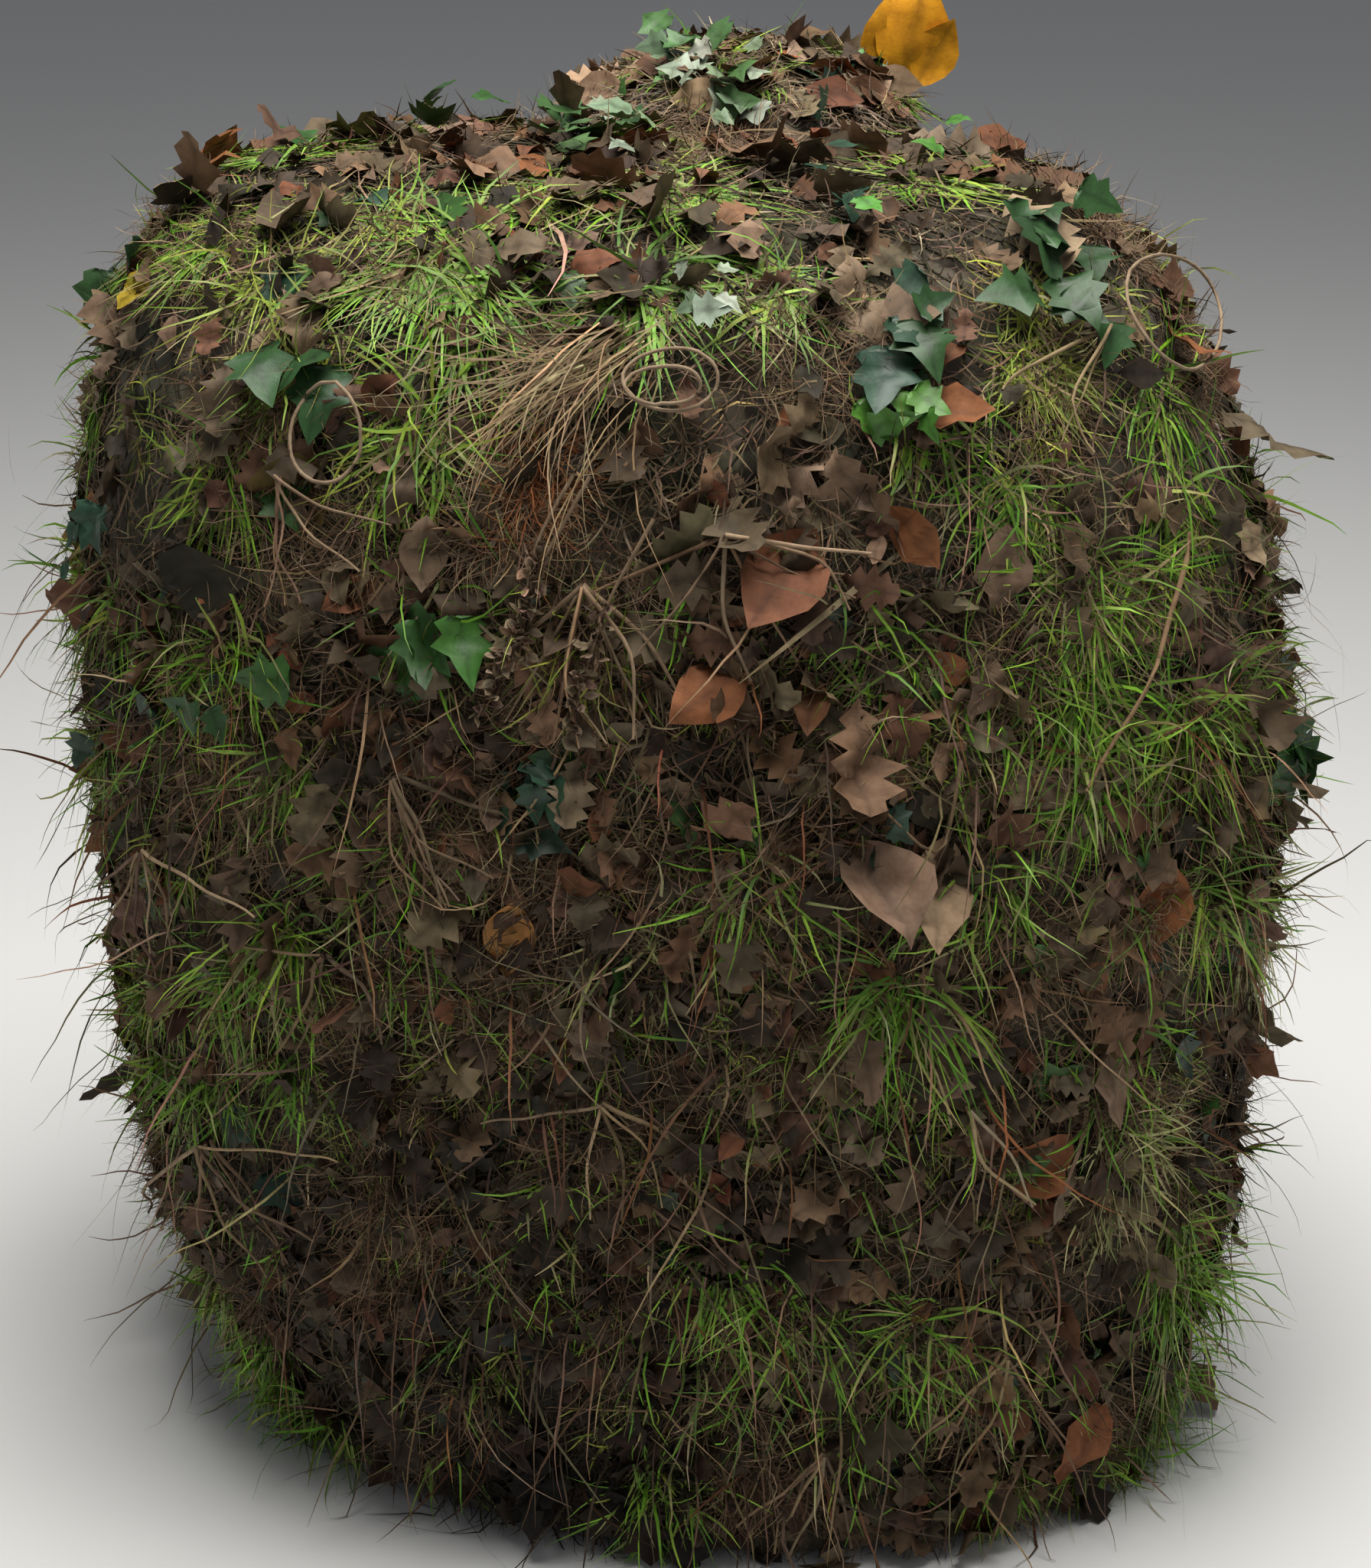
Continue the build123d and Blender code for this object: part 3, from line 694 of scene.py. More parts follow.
tape("webbing_back_tape", [(233, 307)], TAPE_ROWS, "cape", "webbing_back")
tape("webbing_right_tape", [(-51, 20), (34, 47)], TAPE_ROWS, "cape", "webbing_right")
tape("webbing_left_tape", [(133, 146), (160, 231)], TAPE_ROWS, "cape", "webbing_left")
tape("webbing_front_tape", [(49, 81)], TAPE_ROWS, "cape", "webbing_front_right")
tape("webbing_flap_tape", [(98.5, 130)], TAPE_ROWS, "flap", "webbing_flap")
tape("webbing_yoke_tape", [(150, 400)], (0.812,), "cape", "webbing_yoke")
NET_MESH = 0.034


def net(name, first, last, low, high, body, keep=None, *nodes):
    """Diamond net of knotted cord over a patch of the cape."""
    pile = Pile()
    across = 0.4 * math.radians(last - first)
    columns, rows = max(3, int(across / NET_MESH)), max(3, int((high - low) / NET_MESH))
    t = np.linspace(first, last, columns * 2 + 1)
    r = np.linspace(low, high, rows * 2 + 1)
    for j in range(rows * 2):
        for i in range(columns * 2):
            ends = ((i, j), (i + 1, j + 1)) if (i + j) % 2 == 0 else ((i + 1, j), (i, j + 1))
            share = np.linspace(0, 1, 4)
            tt = t[ends[0][0]] + (t[ends[1][0]] - t[ends[0][0]]) * share
            rr = r[ends[0][1]] + (r[ends[1][1]] - r[ends[0][1]]) * share
            if keep and not keep(tt.mean(), rr.mean()):
                continue
            here, normal = on_cape(tt, rr - 0.004 * np.sin(share * math.pi))
            tube_path(pile, here + normal * (0.0055 + 0.002 * math.sin(i * 1.7 + j)), 0.0009,
                      (0.055, 0.05, 0.03), sides=4)
    return pile.build(name, NET, body, "netting", *nodes)


def clear_of_covers(turn, rise):
    """Whether a place on the cape is clear of both arm covers."""
    return not any(abs(turn - b) < 9 and 0.36 < rise < 0.64 for b in ARM_BEARINGS.values())


def clear_of_hood(turn, rise):
    """Whether a place on the yoke is clear of the hood."""
    here, _ = on_cape(turn, rise)
    return (((here[0] - HEAD[0]) / 0.18) ** 2 + ((here[1] - HEAD[1]) / 0.19) ** 2) > 1


net("netting_back_cord", BACK_LEFT, BACK_RIGHT, HEM_TOP + 0.004, SHOULDER, "cape", None, "netting_back")
net("netting_right_cord", -52, FRONT_EDGE, HEM_TOP + 0.004, SHOULDER, "cape", clear_of_covers, "netting_right")
net("netting_left_cord", LEFT_EDGE, BACK_LEFT, HEM_TOP + 0.004, SHOULDER, "cape", clear_of_covers,
    "netting_left")
net("netting_front_cord", FRONT_EDGE, 81, HEM_TOP + 0.004, SHOULDER, "cape", None, "netting_front_right")
net("netting_flap_cord", 98.5, LEFT_EDGE - 1.5, HEM_TOP + 0.006, SHOULDER - 0.006, "flap", None, "netting_flap")
net("netting_yoke_cord", 0, 360, SHOULDER, SHOULDER + 0.36, "cape", clear_of_hood, "netting_yoke")


def hood_net(name, azimuths, rises, out, body, slot_material, wanted, node_name, cell=7.5, radius=0.0009):
    """Diamond net over part of the hood, in azimuths and rises."""
    pile = Pile()
    for r in np.arange(rises[0], rises[1], cell / 2):
        step = cell / 2 / max(math.cos(math.radians(r)), 0.25)
        for k, a in enumerate(np.arange(azimuths[0], azimuths[1], step)):
            lean = step if (k + int(r / cell * 2)) % 2 else -step
            share = np.linspace(0, 1, 3)
            here, normal = on_hood(a + lean * (share - 0.5), r + cell / 2 * share)
            if wanted(here.mean(0)):
                tube_path(pile, here + normal * out, radius, (0.05, 0.047, 0.028), sides=4)
    return pile.build(name, slot_material, body, "netting", node_name)


def on_hood_top(place):
    """Whether a place is on the part of the hood that is netted."""
    return place[2] > 0.955 and 0.06 < place[1] < 0.27


VEIL_LOW, VEIL_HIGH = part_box("face_veil")


def in_veil(place):
    """Whether a place is inside the veil's outline."""
    return VEIL_LOW.x < place[0] < VEIL_HIGH.x and place[1] > VEIL_LOW.y + 0.004 and place[2] > VEIL_LOW.z + 0.002


hood_net("netting_hood_cord", (-180, 180), (30, 88), 0.0045, "hood", NET, on_hood_top, "netting_hood")
hood_net("face_veil_net", (0, 180), (-36, 60), 0.0095, "veil", NET, in_veil, "face_veil", cell=3.4,
         radius=0.0011)

hardware = Pile()
EYELET_BEARINGS = (216, 243, 270, 297, 324)
EYELET_LOW, EYELET_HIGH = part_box("eyelets")
for bearing in EYELET_BEARINGS:
    here, normal = on_cape(float(bearing), (EYELET_LOW.z + EYELET_HIGH.z) / 2)
    up, side = tangents(normal[None])
    ring = [here + normal * 0.0032 + (up[0] * math.cos(a) + side[0] * math.sin(a)) * 0.0095
            for a in np.linspace(0, 2 * math.pi, 28, endpoint=False)]
    tube_path(hardware, ring, 0.0032, (0.2, 0.15, 0.08), closed=True, sides=8)
hardware.build("eyelet_rings", BRASS, "cape", "dull_brass", "eyelets")
for name in ("press_studs", "press_stud_caps"):
    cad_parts[name].data.materials.clear()
    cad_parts[name].data.materials.append(BRASS)


# ------------------------------------------------------------------ garnish
VIEW_TILT = math.radians(20)
VIEW_AIM = Vector((0, math.cos(VIEW_TILT), -math.sin(VIEW_TILT)))
VIEW_UP = Vector((0, math.sin(VIEW_TILT), math.cos(VIEW_TILT)))
VIEW_MIDDLE = Vector((0, 0.008, 0.47))
NET_OUT = 0.006
SEATS = {"back": (BACK_LEFT, BACK_RIGHT, 0.02, SHOULDER),
         "right": (BACK_RIGHT - 360, FRONT_EDGE, 0.02, SHOULDER),
         "left": (LEFT_EDGE + 5, BACK_LEFT, 0.02, SHOULDER), "front": (FRONT_EDGE, 79, 0.02, SHOULDER),
         "flap": (101, 125, 0.03, SHOULDER - 0.03), "yoke": (0, 360, SHOULDER, SHOULDER + CROWN_SPAN)}


def seats(area, count):
    """Random places and normals in one area, even over its surface."""
    first, last, low, high = SEATS[area]
    t, r = rng.uniform(first, last, count * 3), rng.uniform(low, high, count * 3)
    here, normal = on_cape(t, r)
    keep = rng.uniform(0, 0.44, len(t)) < np.hypot(here[:, 0], here[:, 1])
    for bearing in ARM_BEARINGS.values():
        keep &= ~((np.abs(t - bearing) < 8.5) & (r > 0.35) & (r < 0.65))
    if area == "yoke":
        keep &= ((here[:, 0] - HEAD[0]) / 0.175) ** 2 + ((here[:, 1] - HEAD[1]) / 0.165) ** 2 > 1
    here, normal = here[keep][:count], normal[keep][:count]
    return here + normal * NET_OUT, normal


def hood_seats(count):
    """Random places and normals on the part of the hood that stands clear."""
    here, normal = on_hood(rng.uniform(0, 360, count * 4),
                           np.degrees(np.arcsin(rng.uniform(0.35, 1, count * 4))))
    keep = (here[:, 2] > 0.962) & (here[:, 1] < 0.262) & (here[:, 1] > 0.075)
    return here[keep][:count] + normal[keep][:count] * NET_OUT, normal[keep][:count]


def seen(x, h):
    """Place and normal on the cape or hood, and whether on the hood, by metres across and up from behind."""
    for pull in np.linspace(1, 0.5, 26):
        start = VIEW_MIDDLE + Vector((x * pull, 0, 0)) + VIEW_UP * (h * pull) - VIEW_AIM * 2
        found = [(*tree.ray_cast(start, VIEW_AIM), tree is HOOD_TREE) for tree in (CLOTH_TREE, HOOD_TREE)]
        found = [f for f in found if f[0] is not None]
        if found:
            break
    hit, normal, _, _, hooded = min(found, key=lambda f: f[3])
    normal = normal if normal.dot(VIEW_AIM) < 0 else -normal
    return np.array(hit) + np.array(normal) * NET_OUT, np.array(normal), hooded


def tufts(pile, roots, normals, blades, length, width, colours, spread=0.020, droop=1.5, curl=1.1, rise=0.42):
    """Tufts of blades at each root; length and blades may vary by tuft."""
    n = len(roots)
    blades = np.broadcast_to(blades, (n,)).astype(int)
    length = np.broadcast_to(length, (n,))
    pick = np.repeat(np.arange(n), blades)
    up, side = tangents(normals)
    m = len(pick)
    angle, reach = rng.uniform(0, 2 * np.pi, m), np.sqrt(rng.uniform(0, 1, m)) * spread
    flat = np.cos(angle)[:, None] * up[pick] + np.sin(angle)[:, None] * side[pick]
    root = roots[pick] + flat * reach[:, None]
    turn = rng.uniform(0, 2 * np.pi, m)
    splay = np.cos(turn)[:, None] * up[pick] + np.sin(turn)[:, None] * side[pick]
    aim = normals[pick] * rng.uniform(0.1, rise, (m, 1)) + splay * rng.uniform(0.3, 1, (m, 1)) + flat * 0.5
    aim[:, 2] -= rng.uniform(0, 0.9, m)
    strands(pile, root, aim, normals[pick], length[pick] * rng.uniform(0.45, 1.15, m),
            width * rng.uniform(0.6, 1.3, m), palette(colours, m, 0.3), palette(colours + STRAW[:1], m, 0.3),
            droop=droop, curl=curl)


def litter(pile, outline, where, size, colours, curl=0.6, lift=0.35, broad=1.0, spread=0.22):
    """Random loose leaves over some seats."""
    root, normal = where
    n = len(root)
    up, side = tangents(normal)
    angle = rng.normal(size=n) * 0.9 + np.pi
    aim = np.cos(angle)[:, None] * up + np.sin(angle)[:, None] * side + normal * rng.uniform(0, lift, (n, 1))
    face = unit(normal + rng.normal(size=(n, 3)) * 0.5)
    length = size * rng.uniform(0.6, 1.3, n)
    # leaf colours darkened by painted shade low on the back
    leaves(pile, outline, root - aim * length[:, None] * 0.4 + normal * 0.006, unit(aim), face, length,
           palette(colours, n, spread) * painted_shade(root)[:, None], curl=curl, broad=broad)


def thatch(pile, where, length, width, colours, curl=1.1, flat=0.25, droop=0.35):
    """Loose fibres and stems lying every way over some seats."""
    root, normal = where
    n = len(root)
    up, side = tangents(normal)
    angle = rng.normal(size=n) * 1.1 + np.pi
    aim = np.cos(angle)[:, None] * up + np.sin(angle)[:, None] * side + normal * rng.uniform(0.02, flat, (n, 1))
    # fibre colours darkened by painted shade low on the back
    strands(pile, root, aim, normal, length * rng.uniform(0.4, 1.4, n), width * rng.uniform(0.6, 1.5, n),
            palette(colours, n, 0.45) * painted_shade(root)[:, None], palette(colours, n, 0.35) * painted_shade(root)[:, None],
            droop=droop, curl=curl, steps=4, keep_off=0.002)


def placed(rows):
    """Roots, normals and which are on the hood, of listed rows of (across, up, ...)."""
    found = [seen(row[0], row[1]) for row in rows]
    return tuple(np.array([f[k] for f in found]) for k in range(3))


def painted_shade(points):
    """How much darker the litter is made low on the back: painted shade, as if cast by the bulge above."""
    low = np.clip(1.15 - points[:, 2] / 0.50, 0, 1)
    middle = np.exp(-((points[:, 0] + 0.09) / 0.20) ** 2) * (points[:, 1] < 0)
    return 1 - 0.66 * low * middle - 0.25 * low


# grass tufts seen from behind: across, up, reach of the blades, how many blades
BRIGHT_TUFTS = (
    (-0.38, 0.47, 0.06, 90), (-0.27, 0.46, 0.09, 150), (-0.25, 0.50, 0.07, 70), (-0.36, 0.40, 0.09, 120),
    (-0.31, 0.38, 0.08, 80), (-0.15, 0.35, 0.10, 170), (-0.13, 0.31, 0.09, 70), (0.00, 0.40, 0.09, 130),
    (-0.02, 0.33, 0.10, 90), (0.21, 0.20, 0.08, 60), (0.32, 0.27, 0.09, 70), (0.27, 0.14, 0.08, 110),
    (0.27, 0.06, 0.09, 120), (0.27, 0.01, 0.07, 80), (0.14, 0.09, 0.07, 50), (0.05, -0.05, 0.09, 80),
    (0.15, -0.13, 0.10, 110), (0.20, -0.06, 0.08, 60), (0.03, -0.32, 0.08, 70), (0.08, -0.36, 0.08, 60),
    (0.17, -0.37, 0.09, 70), (-0.01, -0.50, 0.08, 90), (-0.26, 0.02, 0.07, 70), (-0.26, -0.19, 0.06, 40),
    (0.22, 0.50, 0.08, 70), (0.24, 0.55, 0.07, 50), (-0.20, 0.54, 0.06, 40), (0.36, -0.36, 0.10, 110),
    (0.36, -0.43, 0.10, 130), (0.34, -0.49, 0.09, 90), (0.40, 0.22, 0.07, 60), (-0.41, 0.37, 0.06, 40),
    (0.20, 0.03, 0.06, 60), (0.33, 0.20, 0.09, 50), (-0.40, 0.28, 0.06, 40), (-0.30, -0.40, 0.06, 40),
    (0.31, -0.16, 0.06, 30), (-0.09, -0.28, 0.06, 35), (0.42, 0.08, 0.07, 50))
WIRY_TUFTS = ((-0.27, 0.34, 0.10, 70), (-0.24, 0.30, 0.08, 50), (-0.19, 0.39, 0.09, 50),
              (0.24, 0.28, 0.06, 150),
              (0.23, 0.33, 0.05, 90), (0.35, 0.43, 0.07, 160), (0.39, 0.42, 0.07, 120), (-0.06, 0.10, 0.07, 60),
              (-0.09, 0.11, 0.06, 40), (0.03, 0.53, 0.06, 40), (0.38, 0.36, 0.06, 50), (0.29, 0.52, 0.06, 60))
PALE_TUFTS = ((0.40, -0.08, 0.09, 80), (0.41, -0.11, 0.08, 60), (0.31, -0.24, 0.07, 120),
              (0.30, -0.28, 0.06, 70),
              (-0.03, -0.10, 0.08, 40), (0.02, 0.43, 0.08, 30), (-0.26, -0.10, 0.08, 30))
back_grass, side_grass, top_grass = Pile(), Pile(), Pile()
hood_grass, hood_leaves = Pile(), Pile()
for rows, colours, width, curl in ((BRIGHT_TUFTS, GREEN, 0.0022, 1.0), (WIRY_TUFTS, YELLOW_GREEN, 0.0016, 1.5),
                                   (PALE_TUFTS, PALE_GRASS, 0.0021, 1.2)):
    root, normal, hooded = placed(rows)
    blades, reach = np.array([row[3] for row in rows]), np.array([row[2] for row in rows]) * 0.92
    for pile, part in ((back_grass, ~hooded), (hood_grass, hooded)):
        tufts(pile, root[part], normal[part], blades[part], reach[part], width, colours, curl=curl)
for area, pile, count in (("right", side_grass, 34), ("left", side_grass, 34), ("front", side_grass, 12),
                          ("yoke", top_grass, 20)):
    root, normal = seats(area, count)
    tufts(pile, root, normal, rng.integers(35, 110, len(root)), rng.uniform(0.045, 0.085, len(root)), 0.0022,
          GREEN + YELLOW_GREEN[:1])
back_grass.build("grass_back", GRASS, "cape", "grass", "grass_tufts_back")
side_grass.build("grass_sides", GRASS, "cape", "grass", "grass_tufts_sides")
top_grass.build("grass_top", GRASS, "cape", "grass", "grass_tufts_top")
moss = Pile()
for area, count in (("back", 26), ("right", 16), ("left", 16), ("front", 6), ("yoke", 16)):
    root, normal = seats(area, count)
    tufts(moss, root, normal, 90, 0.026, 0.0016, YELLOW_GREEN + [(0.05, 0.07, 0.02)], spread=0.032, droop=0.5,
          curl=1.0)
moss.build("moss_tangle", GRASS, "cape", "grass", "moss_pads")


def stood_for(nodes, area):
    """The CAD node that a piece stands for in an area, if any."""
    return (nodes[area],) if area in nodes else ()


# the dead growth that covers the net
OAK_NODES = {"back": "oak_leaves_back", "right": "oak_leaves_sides", "yoke": "oak_leaves_top"}
BEECH_NODES = {"back": "beech_leaves_back", "right": "beech_leaves_sides"}
FIBRE_NODES = {"back": "root_fibre"}
for area, fibre, leaf_count in (("back", 14000, 470), ("right", 12500, 330), ("left", 12500, 330),
                                ("front", 5600, 130),
                                ("yoke", 11000, 240)):
    pile = Pile()
    thatch(pile, seats(area, fibre), 0.040, 0.0012, BROWN + BROWN + STRAW[1:] + TAN[1:], curl=1.9, flat=0.4)
    root, normal = seats(area, fibre // 450)
    tufts(pile, root, normal, 190, 0.045, 0.0008, BROWN[2:] + STRAW[2:] + RUST[2:], spread=0.028, droop=0.6,
          curl=2.4, rise=0.7)
    pile.build(f"dead_fibre_{area}", FIBRE, "cape", "straw", *stood_for(FIBRE_NODES, area))
    oak, beech = Pile(), Pile()
    litter(oak, OAK, seats(area, leaf_count), 0.050, BROWN + RUST[2:] + TAN[2:], curl=1.3)
    litter(beech, BEECH, seats(area, leaf_count), 0.034, BROWN + TAN[2:] + RUST[1:3], curl=1.5)
    oak.build(f"oak_litter_{area}", LEAF, "cape", "dead_leaf", *stood_for(OAK_NODES, area))
    beech.build(f"beech_litter_{area}", LEAF, "cape", "dead_leaf", *stood_for(BEECH_NODES, area))

# leaves that stand out: across, up, length, turn from hanging down, colours, outline
NOTED_LEAVES = (
    (-0.44, 0.19, 0.085, 150, RUST[:2], OAK), (-0.43, -0.02, 0.075, 120, RUST[:2],
                                               OAK), (-0.205, 0.10, 0.100, 150, RUST[2:3], OAK),
    (-0.33, 0.43, 0.065, 200, RUST[:2], BEECH), (-0.26, 0.38, 0.065, 130, BROWN[2:3],
                                                 BEECH), (0.12, 0.32, 0.070, 170, TAN[1:], OAK),
    (0.15, 0.31, 0.060, 250, TAN[1:], BEECH), (0.055, 0.43, 0.060, 120, RUST[3:],
                                               BEECH), (0.235, 0.37, 0.070, 190, TAN[:2], OAK),
    (0.07, 0.23, 0.080, 210, TAN[:2], OAK), (0.11, 0.19, 0.075, 170, TAN[:2],
                                             OAK), (0.065, 0.14, 0.085, 215, RUST[1:2], BEECH),
    (0.02, 0.07, 0.065, 230, RUST[:1], BEECH), (0.11, 0.03, 0.080, 185, RUST[2:],
                                                OAK), (0.30, -0.05, 0.085, 250, RUST[:1], OAK),
    (0.32, -0.07, 0.060, 200, RUST[:1], BEECH), (0.125, -0.06, 0.085, 165, TAN[:1],
                                                 BEECH), (0.165, -0.055, 0.075, 200, TAN[:1], BEECH),
    (0.29, -0.19, 0.065, 180, TAN[:2], BEECH), (0.24, -0.25, 0.070, 235, RUST[:1],
                                                BEECH), (0.28, -0.46, 0.070, 225, RUST[:1], BEECH),
    (0.34, 0.00, 0.080, 170, BROWN[3:], OAK), (0.21, 0.15, 0.060, 190, TAN[1:],
                                               BEECH), (0.38, 0.06, 0.060, 160, BROWN[2:], OAK),
    (0.33, 0.30, 0.055, 200, RUST[:1], BEECH), (0.38, 0.24, 0.065, 180, BROWN[3:],
                                                OAK), (-0.25, 0.19, 0.085, 200, [(0.10, 0.07, 0.02)], BEECH),
    (-0.31, 0.145, 0.080, 85, [(0.025, 0.022, 0.012)], BEECH), (-0.36, 0.34, 0.035, 180, [(0.50, 0.35, 0.03)],
                                                                BEECH),
    (-0.11, -0.09, 0.055, 185, [(0.42, 0.20, 0.06)], BEECH), (-0.08, -0.30, 0.055, 185, [(0.40, 0.19, 0.06)],
                                                              BEECH),
    (0.20, 0.43, 0.060, 140, RUST[2:], OAK), (0.26, 0.52, 0.055, 170, RUST[:2],
                                              BEECH), (-0.39, 0.55, 0.055, 90, RUST[:1], OAK),
    (-0.35, 0.56, 0.055, 60, RUST[2:], BEECH), (-0.13, 0.42, 0.055, 150, RUST[2:],
                                                BEECH), (-0.10, 0.42, 0.045, 200, RUST[:2], BEECH),
    (-0.16, 0.16, 0.050, 180, TAN[1:], BEECH), (0.15, 0.17, 0.05, 140, RUST[:1],
                                                BEECH), (-0.07, 0.01, 0.05, 200, BROWN[3:], OAK),
    (0.07, -0.40, 0.055, 150, BROWN[3:], OAK), (0.11, -0.56, 0.060, 190, BROWN[3:],
                                                OAK), (0.41, -0.20, 0.060, 200, BROWN[2:], OAK),
    (0.04, 0.36, 0.05, 160, TAN[1:], OAK), (0.17, 0.24, 0.055, 120, RUST[:1],
                                            BEECH), (-0.29, 0.26, 0.05, 170, BROWN[2:], OAK))
noted = Pile()
root, normal, hooded = placed(NOTED_LEAVES)
up, side = tangents(normal)
for k, (_, _, length, spin, colours, shape) in enumerate(NOTED_LEAVES):
    angle = math.radians(spin)
    aim = math.cos(angle) * up[k] + math.sin(angle) * side[k] + normal[k] * 0.18
    face = unit(normal[k] + rng.normal(size=3) * 0.35)
    start = root[k] + normal[k] * 0.014 - aim * length * 0.5
    leaves(hood_leaves if hooded[k] else noted, shape, start[None], unit(aim)[None], face[None],
           np.array([length]),
           palette(colours, 1, 0.08), curl=1.25, broad=1.15)
noted.build("noted_leaves", LEAF, "cape", "dead_leaf")

# ivy: patches seen from behind, then strays all round
IVY_PATCHES = ((0.14, 0.29, 6, 0.050, IVY_GREEN), (0.15, 0.25, 5, 0.045, [(0.07, 0.20, 0.03)]),
               (0.26, 0.37, 6, 0.055, IVY_GREEN[:1]),
               (0.25, 0.32, 4, 0.050, IVY_GREEN[:1]), (-0.09, 0.01, 5, 0.040,
                                                       IVY_GREEN[2:]), (-0.16, 0.08, 5, 0.050, IVY_GREEN[1:2]),
               (-0.28, 0.07, 3, 0.050, IVY_GREEN), (-0.35, 0.05, 3, 0.045,
                                                    IVY_GREEN), (0.41, 0.03, 7, 0.050, IVY_GREEN[:1]),
               (-0.38, 0.18, 6, 0.040, IVY_GREEN[2:]), (-0.18, 0.50, 6, 0.035,
                                                        IVY_GREEN[1:2]), (0.10, 0.39, 4, 0.040, IVY_GREEN[2:]),
               (0.17, 0.41, 3, 0.030, [(0.07, 0.22, 0.03)]), (0.00, 0.53, 12, 0.034,
                                                              PALE_IVY), (0.05, 0.50, 10, 0.036, PALE_IVY),
               (-0.08, 0.46, 8, 0.034, PALE_IVY[2:]), (-0.04, 0.45, 8, 0.036,
                                                       PALE_IVY), (0.03, 0.32, 6, 0.025, PALE_IVY),
               (-0.40, 0.38, 4, 0.045, IVY_GREEN), (-0.23, 0.28, 3, 0.050,
                                                    IVY_GREEN[:1]), (0.14, 0.01, 3, 0.035, IVY_GREEN[2:]))
ivy, hood_ivy = Pile(), Pile()
for x, h, count, size, colours in IVY_PATCHES:
    root, normal, hooded = placed([(x + rng.normal() * 0.016, h + rng.normal() * 0.016) for _ in range(count)])
    root = root + normal * rng.uniform(0.006, 0.024, (count, 1))
    for pile, part in ((ivy, ~hooded), (hood_ivy, hooded)):
        litter(pile, IVY_LEAF, (root[part], normal[part]), size * 0.85, colours, curl=0.8, lift=0.5,
               spread=0.15)
for area, count in (("right", 40), ("left", 40), ("front", 14), ("yoke", 20), ("back", 26)):
    litter(ivy, IVY_LEAF, seats(area, count), 0.034, IVY_GREEN, curl=0.7, lift=0.5)
ivy.build("ivy_leaves", IVY, "cape", "ivy", "ivy_sprigs")


def stem(pile, line, radius, colour, off=0.02):
    """Stem through given spots seen from behind, standing off the net."""
    spots = []
    for a, b in zip(line[:-1], line[1:]):
        for share in np.linspace(0, 1, 6)[:-1]:
            spots.append((a[0] + (b[0] - a[0]) * share, a[1] + (b[1] - a[1]) * share))
    spots.append(line[-1])
    points = []
    for k, (x, h) in enumerate(spots):
        place, normal, _ = seen(x, h)
        points.append(place + normal * (off + 0.004 * math.sin(k * 1.3)))
    points = np.array(points)
    for _ in range(2):
        points[1:-1] = (points[:-2] + points[1:-1] * 2 + points[2:]) / 4
    tube_path(pile, points, np.linspace(radius, radius * 0.55, len(points)), colour)


twigs = Pile()
stem(twigs, ((0.325, 0.175), (0.305, 0.09), (0.26, 0.01)), 0.0022, (0.30, 0.19, 0.11))
stem(twigs, ((0.18, 0.03), (0.17, -0.04), (0.10, 0.03)), 0.0016, (0.22, 0.15, 0.09))
for x, h, length, count in ((-0.35, -0.03, 0.09, 7), (-0.32, -0.24, 0.10, 7), (-0.18, 0.02, 0.09, 8),
                            (-0.06, 0.14, 0.10, 9),
                            (0.19, -0.20, 0.08, 5), (0.22, -0.38, 0.09, 5), (-0.23, -0.10, 0.07,
                                                                             5), (0.27, 0.30, 0.08, 4),
                            (-0.05, -0.20, 0.08, 5), (0.10, -0.45, 0.08, 5), (0.03, 0.17, 0.09,
                                                                              7), (-0.25, 0.21, 0.08, 5)):
    for _ in range(count):
        angle = math.radians(rng.normal(180, 38))
        bend = rng.normal() * 0.012
        end = (x + math.sin(angle) * length, h + math.cos(angle) * length)
        middle = ((x + end[0]) / 2 + bend, (h + end[1]) / 2 + bend * 0.4)
        stem(twigs, ((x, h), middle, end), rng.uniform(0.0010, 0.0019), tuple(palette(STRAW + TAN, 1)[0]),
             off=rng.uniform(0.012, 0.028))
for area, count in (("right", 26), ("left", 26), ("front", 10), ("yoke", 18)):
    thatch(twigs, seats(area, count), 0.11, 0.0032, STRAW + TAN, curl=0.4, flat=0.35)
twigs.build("twig_stems", FIBRE, "cape", "straw", "twigs")
straw = Pile()
STRAWS = 120
root, normal, _ = placed([(-0.04 + rng.normal() * 0.020, 0.285 + rng.normal() * 0.010) for _ in range(STRAWS)])
aim = np.array(VIEW_UP) * rng.normal(-0.62, 0.13, (STRAWS, 1)) + np.array((-1, 0, 0))
aim = aim + normal * rng.uniform(0.05, 0.25, (STRAWS, 1))
strands(straw, root + normal * rng.uniform(0.004, 0.022, (STRAWS, 1)), aim, normal,
        rng.uniform(0.05, 0.165, STRAWS),
        rng.uniform(0.0008, 0.0017, STRAWS), palette(STRAW, STRAWS, 0.35),
        palette([(0.36, 0.28, 0.17), (0.30, 0.20, 0.11)], STRAWS, 0.2),
        droop=0.35, curl=0.8, steps=8)
root, normal, _ = placed(((-0.10, 0.22), (-0.085, 0.21), (-0.10, 0.18)))
tufts(straw, root, normal, 170, 0.045, 0.0009, [(0.26, 0.090, 0.03), (0.19, 0.080, 0.035)], spread=0.02,
      droop=0.7, curl=1.9)
root, normal, _ = placed(((-0.10, 0.50), (0.025, 0.48), (0.06, 0.46), (0.28, 0.42), (0.30, 0.38),
                          (0.32, -0.09), (-0.115, 0.175)))
tufts(straw, root, normal, 260, 0.05, 0.0008, TAN + RUST[3:] + BROWN[3:], spread=0.025, droop=0.5, curl=2.4,
      rise=0.8)
straw.build("straw_wisps", FIBRE, "cape", "straw", "straw_bundle")
seed = Pile()
